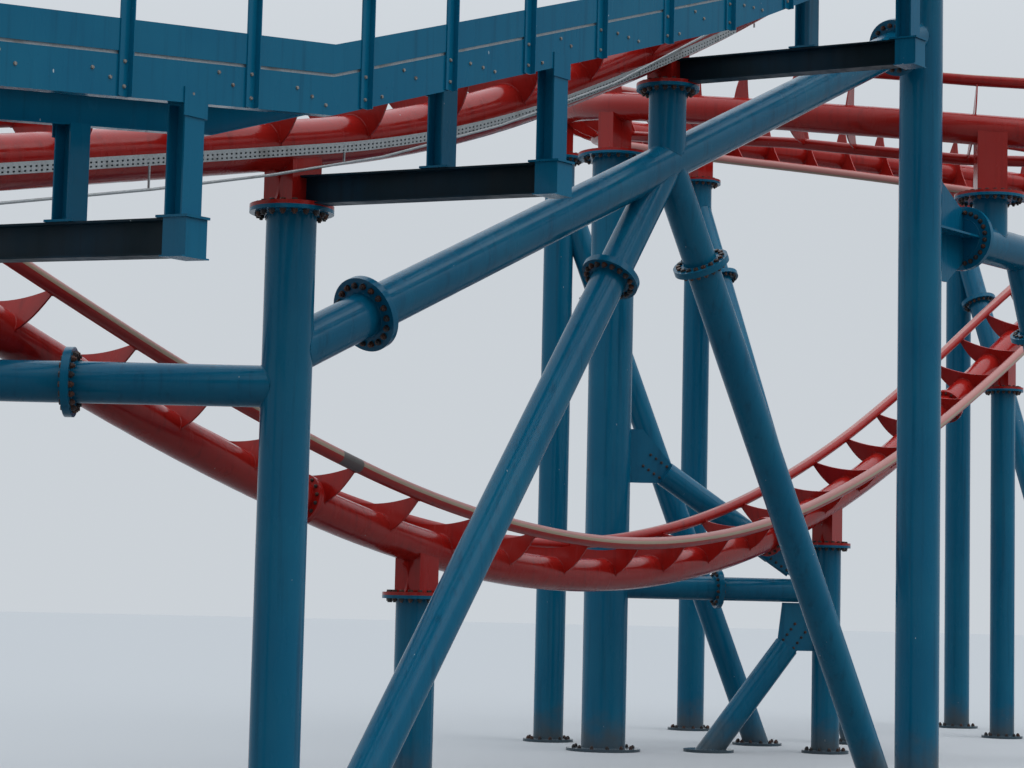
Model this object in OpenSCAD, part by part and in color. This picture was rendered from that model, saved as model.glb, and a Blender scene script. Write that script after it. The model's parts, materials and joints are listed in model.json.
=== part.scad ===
// Section of a tubular steel roller coaster: a dip, a climbing lane with its
// walkway and a banked turn, all red, on a blue frame of flanged pipes.
// Units are millimetres. +X runs along the front frame, +Z is up, and the
// origin is the middle of column A's foot.

/* [Track] */
// Distance between the two running rails, centre to centre
gauge = 1250; // [1000:10:1400]
// Outer diameter of a running rail
rail_d = 168; // [120:4:200]
// Outer diameter of the spine pipe under the rails
spine_d = 457; // [400:1:520]
// Outer diameter of the spine pipe of the climbing lane
lane_spine_d = 508; // [420:1:560]
// Height of the rails' centres over the spine's centre
rail_h = 440; // [400:10:520]
// Thickness of a plate that ties the rails to the spine
tie_t = 20; // [12:1:30]
// Distance from one tie plate to the next
tie_pitch = 1300; // [900:10:1500]

/* [Pipes] */
// Outer diameter of column A
col_a_d = 508; // [450:1:560]
// Outer diameter of column C
col_c_d = 610; // [550:1:680]
// Outer diameter of the sloping tie tube
tie_tube_d = 480; // [470:1:500]
// Outer diameter of the stub B on the tie tube
stub_b_d = 460; // [400:1:466]
// Outer diameter of the two raking legs
leg_d = 420; // [360:1:450]
// Outer diameter of the level cross tube at column A
cross_tube_d = 420; // [360:1:450]

/* [Flanges] */
// Diameter of a flange as a share of its pipe's diameter
flange_ratio = 1.68; // [1.5:0.01:1.9]
// Thickness of one flange plate
flange_t = 40; // [25:1:60]
// Diameter of the anchor bolt holes in the foot plates
anchor_d = 42; // [24:1:60]
// Number of anchor bolts in a foot plate
anchor_n = 12; // [8:4:16]
// Thickness of a foot plate
foot_t = 45; // [30:1:70]

/* [Front frame] */
// Height of the joint between column A and its saddle
col_a_top = 6200; // [5800:10:6250]
// Distance from column A to the stub B
stub_b_x = 6350; // [6000:10:6700]
// Height of the joint on top of stub B
stub_b_top = 8640; // [8500:10:8700]
// Distance from column A to column C
col_c_x = 12450; // [12000:10:12900]
// Height of the joint on top of column C
col_c_top = 11800; // [11600:10:11840]
// Distance from column A back to column K, at the foot of the climb
col_k_x = 4450; // [4200:10:4800]
// Height of the joint on top of column K
col_k_top = 5050; // [4800:10:5200]
// Height of the tie tube's axis at column A
tie_tube_z = 4750; // [4600:10:4900]
// Slope of the tie tube in degrees
tie_tube_slope = 25; // [24:0.1:25.4]
// Distance from column A to the foot of the near raking leg
leg_near_x = 960; // [850:10:1200]
// Distance from column A to the foot of the far raking leg
leg_far_x = 11400; // [11000:10:11500]
// Height of the level cross tube's axis
cross_tube_z = 4410; // [4300:10:4450]
// Length of the level cross tube from column A to its open flange
cross_tube_l = 3300; // [3000:10:3800]

/* [Right frame] */
// Outer diameter of the level tube beyond column C
right_tube_d = 559; // [530:1:600]
// Height of the level tube's axis
right_tube_z = 7770; // [7600:10:7900]
// Outer diameter of the stub under the turn
right_stub_d = 508; // [406:1:520]
// Height of the joint on top of that stub
right_stub_top = 8500; // [8400:10:8600]
// Outer diameter of the raking leg of the right frame
right_leg_d = 457; // [406:1:500]

/* [Bracing bay] */
// Height of the level tube between the columns E and H
bay_z = 2630; // [2500:10:2750]
// Outer diameter of the level tube between the columns E and H
bay_tube_d = 380; // [324:1:406]
// Outer diameter of the two braces of the bay
bay_brace_d = 406; // [324:1:420]
// Outer diameter of the raking braces behind
brace_d = 420; // [324:1:440]

/* [Walkway] */
// Distance from the lane's middle to the outer stringer
walk_outer = 3450; // [3200:10:3600]
// Distance from the lane's middle to the inner stringer
walk_inner = 1900; // [1700:10:2100]
// Height of a stringer channel
channel_h = 320; // [260:10:380]
// Width of a stringer channel's flanges
channel_w = 100; // [80:5:140]
// Thickness of a stringer channel's web and flanges
channel_t = 12; // [8:1:20]
// Height of the kick plate over the outer stringer
kick_h = 245; // [150:5:300]
// Height of the hand rail over the deck
hand_rail_h = 1100; // [900:10:1200]
// Height of an outrigger beam
beam_h = 290; // [250:10:320]
// Width of an outrigger beam and of its struts
beam_w = 200; // [160:10:240]
// Angle at which an outrigger beam falls away from the lane
beam_fall = 3.5; // [0:0.5:5]
// Height of the cable tray beside the climbing lane
tray_h = 105; // [80:5:150]

/* [Hidden] */
$fn = 48;

blue = [0.05, 0.34, 0.50];
dark_blue = [0.03, 0.16, 0.24];
red = [0.72, 0.10, 0.08];
zinc = [0.62, 0.64, 0.65];
gap = 0.3;          // clearance between two pieces that seat on each other
spine_sides = 24;
rail_sides = 12;
eps = 1;            // how far a cutting shape runs past what it cuts
end_clear = 80;     // how near a tie plate may come to the end of its length of track

function unit(v) = v / norm(v);
function heading_pitch(h, p) = [cos(h) * cos(p), sin(h) * cos(p), sin(p)];

// A lane is a table of [distance, heading, pitch, roll], in millimetres and degrees.
// Between two rows each angle changes evenly, so every stretch is an arc.
lane_heading = 1; lane_pitch = 2; lane_roll = 3;
function lane_angle(lane, s, col) = lookup(s, [for (r = lane) [r[0], r[col]]]);
function lane_dir(lane, s) = heading_pitch(lane_angle(lane, s, lane_heading), lane_angle(lane, s, lane_pitch));
// Points every walk_step along a lane, found by walking it from its start
walk_step = 50;
function walk(lane, start, length) =
  [for (i = 0, p = start; i <= length / walk_step;
        p = p + walk_step * lane_dir(lane, (i + 0.5) * walk_step), i = i + 1) p];

// A track is [lane, its points, distance to a tie plate, pitch of the ties, diameter of the spine]
track_lane = 0; track_path = 1; track_tie = 2; track_pitch = 3; track_d = 4;
function track(lane, start, length, tie, pitch, d) = [lane, walk(lane, start, length), tie, pitch, d];
function heading_at(t, s) = lane_angle(t[track_lane], s, lane_heading);
function dir_at(t, s) = lane_dir(t[track_lane], s);
// The level direction to the right of a track
function level_at(t, s) = let (h = heading_at(t, s)) [sin(h), -cos(h), 0];
// The direction from the spine towards the right-hand rail
function side_at(t, s) =
  let (r = lane_angle(t[track_lane], s, lane_roll), up = cross(level_at(t, s), dir_at(t, s)))
  level_at(t, s) * cos(r) - up * sin(r);
function up_at(t, s) = cross(side_at(t, s), dir_at(t, s));
function point_at(t, s) =
  let (path = t[track_path], k = min(floor(s / walk_step), len(path) - 2), f = s / walk_step - k)
  path[k] * (1 - f) + path[k + 1] * f;
// The place on the ground under a point of a track, to a whole millimetre
function spot(t, s) = let (p = point_at(t, s)) [round(p[0]), round(p[1]), 0];
// The distance along a track at which its coordinate x (axis 0) or y (axis 1) has a value
function distance_to(t, axis, value) =
  let (path = t[track_path])
  lookup(value, [for (i = [0:len(path) - 1]) [path[i][axis], i * walk_step]]);
// Distances along a track, every so many pitches from a tie, that lie clear of the ends s0 and s1
function stations(t, pitches, s0, s1) =
  let (first = t[track_tie], step = pitches * t[track_pitch])
  [for (k = [ceil((s0 + end_clear - first) / step):floor((s1 - end_clear - first) / step)]) first + k * step];

// The dip, from left to right, in four bolted lengths
dip_start = [-2950, 2230, 5340];
dip_lane = [
  [0, 5.3, -19.6, -0.9], [2300, 5.3, -18.8, -1.6], [6500, 5.3, -13.5, -2.2],
  [10550, 5.3, -4.4, -1.5], [14550, 5.3, 6.4, 0.6], [18650, 5.3, 16.7, 4.1],
  [22900, 5.3, 23.8, 8.8], [27350, 5.3, 26.9, 14.9], [31800, 5.3, 24.9, 22.2],
];
dip_joints = [0, 6300, 17820, 25130, 30700];
dip = track(dip_lane, dip_start, dip_joints[4], 1270, tie_pitch, spine_d);
// The climbing lane over columns K, A, stub B and column C
lane_start = [-6400, 0, 5520];
lane_lane = [
  [0, 0, 11.8, 0], [6500, 0, 12, 0], [10600, 0, 23, 0], [13200, 0, 25, 0],
  [15200, 0, 28, 0], [21500, 0, 28, 0],
];
lane_length = 21250;
lane = track(lane_lane, lane_start, lane_length, 900, tie_pitch, lane_spine_d);
// The banked turn, from the right frame round to the columns behind
turn_start = [16000, -1560, 9440];
turn_lane = [
  [0, 141, 0, 50], [2500, 124.5, 4.5, 61], [5500, 93, 9.8, 60], [8500, 81, 9.9, 68],
  [11500, 43.5, 7.2, 69], [14500, 0.5, 4.3, 66.5], [18500, -19, 1.7, 68], [26000, -23.5, -1.2, 72],
];
turn_length = 25700;
turn_pitch = 960;
turn = track(turn_lane, turn_start, turn_length, 500, turn_pitch, spine_d);

// Columns under a track, as [distance along the track, height of the joint on top, diameter]
dip_columns = [[8640, 2380, 508], [20020, 3380, 457], [28030, 6600, 457]];
turn_columns = [[8900, 9650, 711], [11340, 10030, 508], [17150, 10540, 508], [23780, 10650, 508]];

module at_frame(o, x, y, z) {
  multmatrix([
    [x[0], y[0], z[0], o[0]],
    [x[1], y[1], z[1], o[1]],
    [x[2], y[2], z[2], o[2]],
    [0, 0, 0, 1],
  ]) children();
}
// Turns local +Z to the direction v at the point p
module aim(p, v) {
  u = unit(v);
  translate(p) rotate([0, acos(u[2]), atan2(u[1], u[0])]) children();
}
module pipe(p, q, d, spin = 0) {
  aim(p, q - p) rotate(spin) cylinder(d = d, h = norm(q - p));
}
// One flange plate that starts at p and runs flange_t along v
module flange(p, v, d) {
  aim(p, v) cylinder(d = d * flange_ratio, h = flange_t);
}
// Two flange plates face to face, with the joint's plane at p
module flange_pair(p, v, d) {
  flange(p, v, d);
  flange(p, -v, d);
}
// A foot plate with a ring of anchor holes, its lower face on the ground.
// The holes lie midway between the plate's edge and the circle where the pipe meets it.
module foot(d, inner_d) {
  difference() {
    cylinder(d = d * flange_ratio, h = foot_t);
    for (i = [0:anchor_n - 1])
      rotate([0, 0, (i + 0.5) * 360 / anchor_n])
        translate([(inner_d + d * flange_ratio) / 4, 0, -eps])
          cylinder(d = anchor_d, h = foot_t + 2 * eps);
  }
}
module column(x, y, top, d) {
  translate([x, y, 0]) {
    foot(d, d);
    cylinder(d = d, h = top);
    translate([0, 0, top - flange_t]) cylinder(d = d * flange_ratio, h = flange_t);
  }
}

// A round tube along a lane, off to the side and up from its spine: rings of points
// and the faces that join them, with a ring at each tie plate and one between
module sweep(t, s0, s1, off_side, off_up, d, sides) {
  rings = concat(s0 + gap, stations(t, 0.5, s0, s1), s1 - gap);
  n = len(rings) - 1;
  points = [
    for (s = rings)
      let (side = side_at(t, s), up = up_at(t, s), c = point_at(t, s) + off_side * side + off_up * up)
        for (k = [0:sides - 1])
          let (a = 360 * (k + 0.5) / sides) c + d / 2 * (cos(a) * side + sin(a) * up),
  ];
  walls = [
    for (i = [0:n - 1], k = [0:sides - 1])
      let (a = i * sides + k, b = i * sides + (k + 1) % sides)
        each [[a, b, b + sides], [a, b + sides, a + sides]],
  ];
  caps = [[for (k = [sides - 1:-1:0]) k], [for (k = [0:sides - 1]) n * sides + k]];
  polyhedron(points, concat(walls, caps));
}
module track_frame(t, s) at_frame(point_at(t, s), side_at(t, s), up_at(t, s), dir_at(t, s)) children();
module spine(t, s0, s1) sweep(t, s0, s1, 0, 0, t[track_d], spine_sides);
module rails(t, s0, s1)
  for (side = [-1, 1]) sweep(t, s0, s1, side * gauge / 2, rail_h, rail_d, rail_sides);
// One tie plate: hollow top between the rails, flared sides down to the spine
tie_sag = 95;       // how deep the top edge dips between the rails
tie_flare = 55;     // how far a side edge bows in
tie_arc = 8;        // points along each curved edge
module tie_outline(d) {
  reach = gauge / 2;
  rail_low = rail_h - rail_d / 4;
  function top_edge(t) = [reach * t, rail_h - tie_sag * (1 - t * t)];
  function side_edge(t) = [reach + (d / 2 - reach) * t, rail_low * (1 - t) - tie_flare * sin(180 * t)];
  difference() {
    polygon(concat(
      [for (i = [-tie_arc:tie_arc]) top_edge(i / tie_arc)],
      [for (i = [0:tie_arc]) side_edge(i / tie_arc)],
      [for (i = [tie_arc:-1:0]) let (p = side_edge(i / tie_arc)) [-p[0], p[1]]]));
    circle(d = d + 2 * gap);
    for (side = [-1, 1]) translate([side * reach, rail_h]) circle(d = rail_d + 2 * gap);
  }
}
module ties(t, s0, s1)
  for (s = stations(t, 1, s0, s1))
    track_frame(t, s) translate([0, 0, -tie_t / 2]) linear_extrude(tie_t) tie_outline(t[track_d]);
// The straight between two rings of the spine that lies over s, as [its start, its direction]
function straight_at(t, s) =
  let (step = t[track_pitch] / 2, ring = t[track_tie] + floor((s - t[track_tie]) / step) * step,
       run = unit(point_at(t, ring + step) - point_at(t, ring)))
  [point_at(t, ring) + (s - ring) * run, run];
// Cuts the room of the spine out of what comes near it at s
module spine_hole(t, s) {
  q = straight_at(t, s);
  reach = 2 * t[track_d];
  aim(q[0] - reach * q[1], q[1]) cylinder(d = t[track_d] + 2 * gap, h = 2 * reach);
}
// A saddle: a flange, and a box trunk that fits under the spine.
// A plate along the track, waisted in two arcs, spreads the load at both ends of the trunk.
haunch_ratio = 0.46; // width of that plate as a share of the ties' pitch
haunch_t = 30;
trunk_of_pipe = 0.8; // width of the trunk as a share of the pipe below
trunk_of_spine = 0.85;
function trunk_w(pipe_d, d) = min(trunk_of_pipe * pipe_d, trunk_of_spine * d);
module haunch(waist, w, clear, h) if (w > waist) {
  depth = (w - waist) / 2;
  arc_r = (depth * depth + clear * clear / 4) / (2 * depth);
  rotate([90, 0, 0]) translate([0, 0, -haunch_t / 2]) linear_extrude(haunch_t) difference() {
    translate([-w / 2, 0]) square([w, h]);
    for (side = [-1, 1]) translate([side * (waist / 2 + arc_r), clear / 2]) circle(r = arc_r);
  }
}
module saddle(t, s, top, flange_d, w) {
  h = straight_at(t, s)[0][2] - top;
  difference() {
    translate(spot(t, s) + [0, 0, top + gap]) {
      cylinder(d = flange_d, h = flange_t);
      rotate([0, 0, heading_at(t, s)]) {
        translate([-w / 2, -w / 2, 0]) cube([w, w, h]);
        haunch(w, haunch_ratio * t[track_pitch], h - t[track_d] / 2, h);
      }
    }
    spine_hole(t, s);
  }
}
module saddle_on(t, s, top, pipe_d) saddle(t, s, top, pipe_d * flange_ratio, trunk_w(pipe_d, t[track_d]));

// The front frame stands in the plane of the columns A and C
function tie_axis(x) = [x, 0, tie_tube_z + x * tan(tie_tube_slope)];
tie_dir = [cos(tie_tube_slope), 0, sin(tie_tube_slope)];
tie_joint_low = 1120;
tie_joint_high = 11750;
vertex = tie_axis(stub_b_x);
cross_heading = 130;
cross_dir = [cos(cross_heading), sin(cross_heading), 0];
cross_joint = 2160;
near_joint = 0.8;   // where the near leg's flanges are, as a share of its length
far_joint = 0.85;   // the same for every other raking pipe
leg_foot = 1.2;     // a raking leg's foot plate is wider, because the pipe comes in at a slant

module column_hole(p, d) translate([p[0], p[1], -eps]) cylinder(d = d + 2 * gap, h = col_c_top);
module column_a() color(blue) column(0, 0, col_a_top, col_a_d);
module column_c() color(blue) column(col_c_x, 0, col_c_top, col_c_d);
module column_k() color(blue) column(-col_k_x, 0, col_k_top, col_a_d);
module tie_tube_end() color(blue) {
  difference() {
    pipe(tie_axis(0), tie_axis(tie_joint_low) - gap * tie_dir, tie_tube_d);
    column_hole([0, 0], col_a_d);
  }
  flange(tie_axis(tie_joint_low) - gap * tie_dir, -tie_dir, tie_tube_d);
}
module tie_tube() color(blue) {
  pipe(tie_axis(tie_joint_low), tie_axis(tie_joint_high), tie_tube_d);
  flange(tie_axis(tie_joint_low), tie_dir, tie_tube_d);
  flange(tie_axis(tie_joint_high), -tie_dir, tie_tube_d);
}
module tie_tube_top_end() color(blue) {
  difference() {
    union() {
      pipe(tie_axis(tie_joint_high) + gap * tie_dir, tie_axis(col_c_x), tie_tube_d);
      flange(tie_axis(tie_joint_high) + gap * tie_dir, tie_dir, tie_tube_d);
    }
    column_hole([col_c_x, 0], col_c_d);
  }
}
module tie_hole() aim(tie_axis(0), tie_dir) cylinder(d = tie_tube_d + 2 * gap, h = 2 * col_c_x);
module stub_b() color(blue) difference() {
  union() {
    pipe(vertex, [stub_b_x, 0, stub_b_top], stub_b_d);
    flange([stub_b_x, 0, stub_b_top], [0, 0, -1], stub_b_d);
  }
  tie_hole();
}
// A raking pipe from its foot plate at the toe up to the head.
// The children are cut away where the pipe meets what it leans on.
// A spin turns the pipe about its axis, so that its seam misses the lowest point of the cut at the ground.
module raking_pipe(toe, head, d, spin = 0) {
  difference() {
    pipe(toe - d * unit(head - toe), head, d, spin);
    translate(toe - [2 * d, 2 * d, 2 * d]) cube([4 * d, 4 * d, 2 * d]);
    children();
  }
  translate(toe) foot(leg_foot * d, leg_foot * d);
}
// A raking pipe with a flanged joint
module raking_leg(toe, head, d, joint = far_joint, spin = 0) {
  raking_pipe(toe, head, d, spin) children();
  flange_pair(toe + joint * (head - toe), head - toe, d);
}
near_toe = [leg_near_x, 0, 0];
module near_leg() color(blue) raking_leg(near_toe, vertex, leg_d, near_joint) tie_hole();
module far_leg() color(blue) raking_leg([leg_far_x, 0, 0], vertex, leg_d) {
  tie_hole();
  aim(near_toe, vertex - near_toe) cylinder(d = leg_d + 2 * gap, h = 2 * vertex[2]);
}
module cross_tube() color(blue) {
  a = [0, 0, cross_tube_z];
  difference() {
    pipe(a, a + cross_tube_l * cross_dir, cross_tube_d);
    column_hole([0, 0], col_a_d);
  }
  flange_pair(a + cross_joint * cross_dir, cross_dir, cross_tube_d);
  flange(a + cross_tube_l * cross_dir, -cross_dir, cross_tube_d);
}

// The right frame goes on beyond column C in the same plane
right_joint = 13700;
right_end = 16700;
right_leg_top = 15410;
right_leg_toe = 19000;
right_flange_d = 1060;
right_trunk_w = 440;
gusset_t = 30;
// Half of the gusset's outline as [x from the joint, height over the tube's axis]
gusset_top = [[-1300, 850], [-760, 800], [-40, 400], [0, 330]];
gusset_bottom = [[0, -320], [-150, -435], [-510, -700], [-1300, -700]];
gusset_side = 295;  // how far the level plate of the gusset reaches to each side
function right_axis(x) = [x, 0, right_tube_z];
right_stub_at = distance_to(turn, 1, 0);
right_foot = spot(turn, right_stub_at);
module right_hole() aim(right_axis(0), [1, 0, 0]) cylinder(d = right_tube_d + 2 * gap, h = 2 * right_end);
module gusset_c() color(blue) {
  difference() {
    translate(right_axis(right_joint - gap)) {
      rotate([90, 0, 0]) translate([0, 0, -gusset_t / 2]) linear_extrude(gusset_t)
        polygon(concat(gusset_top, gusset_bottom));
      translate([-right_joint + col_c_x, -gusset_side, -gusset_t / 2])
        cube([right_joint - col_c_x, 2 * gusset_side, gusset_t]);
    }
    column_hole([col_c_x, 0], col_c_d);
  }
  flange(right_axis(right_joint - gap), [-1, 0, 0], right_tube_d);
}
module right_tube() color(blue) {
  pipe(right_axis(right_joint), right_axis(right_end), right_tube_d);
  flange(right_axis(right_joint), [1, 0, 0], right_tube_d);
  flange(right_axis(right_end), [-1, 0, 0], right_tube_d);
}
module right_stub() color(blue) difference() {
  translate([right_foot[0], 0, right_tube_z]) {
    cylinder(d = right_stub_d, h = right_stub_top - right_tube_z);
    translate([0, 0, right_stub_top - flange_t - right_tube_z]) cylinder(d = right_flange_d, h = flange_t);
  }
  right_hole();
}
module right_leg() color(blue)
  raking_leg([right_leg_toe, 0, 0], right_axis(right_leg_top), right_leg_d) right_hole();

joint_ratio = 1.35; // diameter of a flange on the spine as a share of the spine's
module dip_spine(i) color(red) {
  s0 = dip_joints[i] + gap;
  s1 = dip_joints[i + 1] - flange_t - gap;
  spine(dip, s0 + flange_t, s1);
  for (s = [s0, s1]) track_frame(dip, s) cylinder(d = spine_d * joint_ratio, h = flange_t);
}
module dip_rails(i) color(red) rails(dip, dip_joints[i], dip_joints[i + 1]);
module dip_ties(i) color(red) ties(dip, dip_joints[i], dip_joints[i + 1]);
module column_under(t, row) color(blue)
  let (p = spot(t, row[0])) column(p[0], p[1], row[1], row[2]);
module dip_saddles() color(red) for (row = dip_columns) saddle_on(dip, row[0], row[1], row[2]);

module lane_spine() color(red) spine(lane, 0, lane_length);
module lane_rails() color(red) rails(lane, 0, lane_length);
module lane_ties() color(red) ties(lane, 0, lane_length);
// What the climbing lane stands on, as [x, height of the joint, diameter]
lane_posts = [
  [-col_k_x, col_k_top, col_a_d], [0, col_a_top, col_a_d],
  [stub_b_x, stub_b_top, stub_b_d], [col_c_x, col_c_top, col_c_d],
];
module lane_saddles() color(red)
  for (row = lane_posts) saddle_on(lane, distance_to(lane, 0, row[0]), row[1], row[2]);

module turn_spine() color(red) spine(turn, 0, turn_length);
module turn_rails() color(red) rails(turn, 0, turn_length);
module turn_ties() color(red) ties(turn, 0, turn_length);
module turn_saddles() color(red) {
  for (row = turn_columns) saddle_on(turn, row[0], row[1], row[2]);
  saddle(turn, right_stub_at, right_stub_top, right_flange_d, right_trunk_w);
}
// Raking braces behind, towards the inside of the turn, as [row of turn_columns, reach on the ground,
// place of the joint as a share of the length]
brace_rows = [[1, 3600, 0.8], [2, 4300, far_joint], [3, 4350, far_joint]];
brace_drop = 420;   // how far under the column's joint a brace's axis meets the column
brace_sides = 96;
brace_spin = 30;
module turn_braces() color(blue)
  for (b = brace_rows) {
    $fn = brace_sides;
    row = turn_columns[b[0]];
    base = spot(turn, row[0]);
    toe = base + b[1] * level_at(turn, row[0]);
    raking_leg([round(toe[0]), round(toe[1]), 0], base + [0, 0, row[1] - brace_drop], brace_d, b[2], brace_spin)
      column_hole(base, row[2]);
  }

// The bracing bay stands in the plane of the columns E and H, in a frame whose X runs from E to H
bay_e = spot(turn, turn_columns[0][0]);
bay_h = spot(dip, dip_columns[1][0]);
bay_l = norm(bay_h - bay_e);
bay_high = 5100;    // where the upper brace's axis meets column E
bay_foot = 1750;    // from column E to the foot of the lower brace
bay_brace_t = 25;
bay_plate_l = 1130; // from a column's axis to the end of a gusset plate
bay_plate_w = 380;
bay_lap = 430;      // how far a brace's tongue laps its gusset plate
bay_reach = 560;    // how far a gusset plate keeps its lower edge from the column's axis
bay_clear = 10;     // between a gusset plate and the level tube
bay_top_edges = [-790, 80]; // edges of the plate on column E, from where the brace's axis meets it
bay_mid_up = 620;   // top of the plate over the level tube, from the tube's axis
bay_low_down = 980; // bottom of the plate under the level tube
bay_low_reach = 760;
module bay_frame() {
  along = unit(bay_h - bay_e);
  at_frame(bay_e, along, cross([0, 0, 1], along), [0, 0, 1]) children();
}
module bay_columns() {
  column_hole([0, 0], turn_columns[0][2]);
  column_hole([bay_l, 0], dip_columns[1][2]);
}
bay_top = [0, 0, bay_high];
bay_node = [bay_l, 0, bay_z];
bay_toe = [bay_foot, 0, 0];
module bay_tube() color(blue) bay_frame() difference() {
  union() {
    pipe([0, 0, bay_z], bay_node, bay_tube_d);
    flange_pair([bay_l / 2, 0, bay_z], [1, 0, 0], bay_tube_d);
  }
  bay_columns();
}
// A plate in the bay's plane from z0 to z1 at the column, narrowing along v from the axis at p
module bay_gusset(p, v, z0, z1, reach = bay_reach) {
  side = v[0] > 0 ? 1 : -1;
  tip = p + bay_plate_l * unit(v);
  across = bay_plate_w / 2 * cross(unit(v), [0, side, 0]);
  low = p[0] + side * bay_reach;
  high = p[0] + side * reach;
  translate([0, -gap / 2, 0]) rotate([90, 0, 0]) linear_extrude(bay_brace_t)
    polygon([[p[0], z1], [high, z1], [tip[0] + across[0], tip[2] + across[2]],
             [tip[0] - across[0], tip[2] - across[2]], [low, z0], [p[0], z0]]);
}
module bay_gussets() color(blue) bay_frame() difference() {
  edge = bay_tube_d / 2 + bay_clear;
  union() {
    bay_gusset(bay_top, bay_node - bay_top, bay_high + bay_top_edges[0], bay_high + bay_top_edges[1]);
    bay_gusset(bay_node, bay_top - bay_node, bay_z + edge, bay_z + bay_mid_up);
    bay_gusset(bay_node, bay_toe - bay_node, bay_z - bay_low_down, bay_z - edge, bay_low_reach);
  }
  bay_columns();
}
// The tongue of a brace that leaves a column's axis at p along v
module bay_tongue(p, v)
  translate(p) rotate([0, -atan2(v[2], v[0]), 0])
    translate([bay_plate_l - bay_lap, gap / 2, -bay_plate_w / 2])
      cube([2 * bay_lap, bay_brace_t, bay_plate_w]);
module bay_braces() color(blue) bay_frame() {
  end = bay_plate_l + gap;
  down = bay_node - bay_top;
  pipe(bay_top + end * unit(down), bay_node - end * unit(down), bay_brace_d);
  bay_tongue(bay_top, down);
  bay_tongue(bay_node, -down);
  low = bay_toe - bay_node;
  raking_pipe(bay_toe, bay_node + end * unit(low), bay_brace_d);
  bay_tongue(bay_node, low);
}

// The walkway's bends, as [x, height of the stringers' lower edge]
walk_bends = [[-6600, 5820], [-2950, 6235], [2700, 8120], [6350, 9680], [12900, 13220]];
function walk_z(x) = lookup(x, walk_bends);
// A strip along the walkway from z0 to z1 over the stringers' lower edge
module strip(y, t, z0, z1) {
  translate([0, y + t, 0]) rotate([90, 0, 0]) linear_extrude(t)
    polygon(concat([for (b = walk_bends) [b[0], b[1] + z0]],
      [for (i = [len(walk_bends) - 1:-1:0]) [walk_bends[i][0], walk_bends[i][1] + z1]]));
}
// A channel whose web is at y and whose flanges run w along +Y or -Y
module channel(y, w) {
  low = min(y, y + w);
  strip(w > 0 ? y : y - channel_t, channel_t, 0, channel_h);
  strip(low, abs(w), 0, channel_t);
  strip(low, abs(w), channel_h - channel_t, channel_h);
}
deck_t = 30;
kick_gap = 25;
kick_t = 8;
post_w = 95;
post_t = 10;
post_start = -2600; // where the posts' pitch changes, at the bend above the level stretch
post_pitch = [1290, 1050];
hand_tube_d = 48;
module stringer_outer() color(blue) channel(-walk_outer, channel_w);
module stringer_inner() color(blue) channel(-walk_inner, -channel_w);
module walkway_deck() color(zinc)
  strip(-walk_outer + channel_t, walk_outer - walk_inner - 2 * channel_t,
        channel_h + gap, channel_h + gap + deck_t);
module handrail() color(blue) {
  y = -walk_outer - gap;
  top = channel_h + hand_rail_h;
  last = len(walk_bends) - 1;
  strip(y - kick_t, kick_t, channel_h + kick_gap, channel_h + kick_gap + kick_h);
  for (x = concat([for (x = [post_start:-post_pitch[0]:walk_bends[0][0]]) x],
                  [for (x = [post_start + post_pitch[1]:post_pitch[1]:walk_bends[last][0]]) x]))
    translate([x - post_w / 2, y - kick_t - post_t, walk_z(x)]) cube([post_w, kick_t + post_t, top]);
  tube_y = y - kick_t - post_t - hand_tube_d / 3;
  for (h = [top, channel_h + hand_rail_h / 2], i = [0:last - 1])
    let (a = walk_bends[i], b = walk_bends[i + 1], run = unit([b[0] - a[0], 0, b[1] - a[1]]))
      pipe([a[0], tube_y, a[1] + h] + hand_tube_d * run, [b[0], tube_y, b[1] + h] - hand_tube_d * run, hand_tube_d);
}
// Outriggers: a beam out from each saddle, with two struts up to the stringers
module h_section(w, h, t) {
  for (side = [-1, 1]) translate([-w / 2, side * (h - t) / 2 - t / 2]) square([w, t]);
  translate([-t / 2, -h / 2]) square([t, h]);
}
beam_t = 18;
beam_end = 3500;
beam_end_t = 15;
function beam_z(row) = row[1] + flange_t + beam_h / 2 + 3 * gap;
// Puts its children in the frame of the beam on a post, with Y outwards along the beam
module beam_frame(row) translate([row[0], 0, beam_z(row)]) rotate([-beam_fall, 0, 180]) children();
module outriggers() color(dark_blue)
  for (row = lane_posts) {
    near = trunk_w(row[2], lane_spine_d) / 2 + gap;
    difference() {
      beam_frame(row) {
        rotate([-90, 0, 0]) linear_extrude(beam_end) h_section(beam_w, beam_h, beam_t);
        translate([-beam_w / 2, beam_end - beam_end_t, -beam_h / 2]) cube([beam_w, beam_end_t, beam_h]);
      }
      translate([row[0] - beam_w, -near, 0]) cube([2 * beam_w, beam_end, 2 * col_c_top]);
      translate([row[0], 0, row[1] - beam_h])
        cylinder(d = row[2] * flange_ratio + 2 * gap, h = beam_h + flange_t + 2 * gap);
      spine_hole(lane, distance_to(lane, 0, row[0]));
    }
  }
// A strut stands on a base plate and ends under its stringer, whose web a top plate laps
strut_base = [240, 360];
strut_base_t = 20;
strut_plate_w = 240;
strut_plate_t = 12;
strut_lap = 110;
module strut(row, y, side) {
  foot_z = beam_z(row) - y * tan(beam_fall);
  head_z = walk_z(row[0]);
  difference() {
    translate([row[0], -y, foot_z]) linear_extrude(head_z + beam_w - foot_z) h_section(beam_w, beam_w, beam_t);
    strip(-walk_outer - beam_w, walk_outer + beam_w, -gap, 4 * beam_w);
    beam_frame(row) translate([-beam_w, 0, -2 * beam_h])
      cube([2 * beam_w, 2 * beam_end, 2 * beam_h + beam_h / 2 + gap]);
  }
  beam_frame(row) translate([-strut_base[0] / 2, y - strut_base[1] / 2, beam_h / 2 + gap])
    cube([strut_base[0], strut_base[1], strut_base_t]);
  face = -y - side * beam_w / 2;
  translate([row[0] - strut_plate_w / 2, min(face, face - side * strut_plate_t), head_z - strut_lap])
    cube([strut_plate_w, strut_plate_t, 2 * strut_lap]);
}
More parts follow.
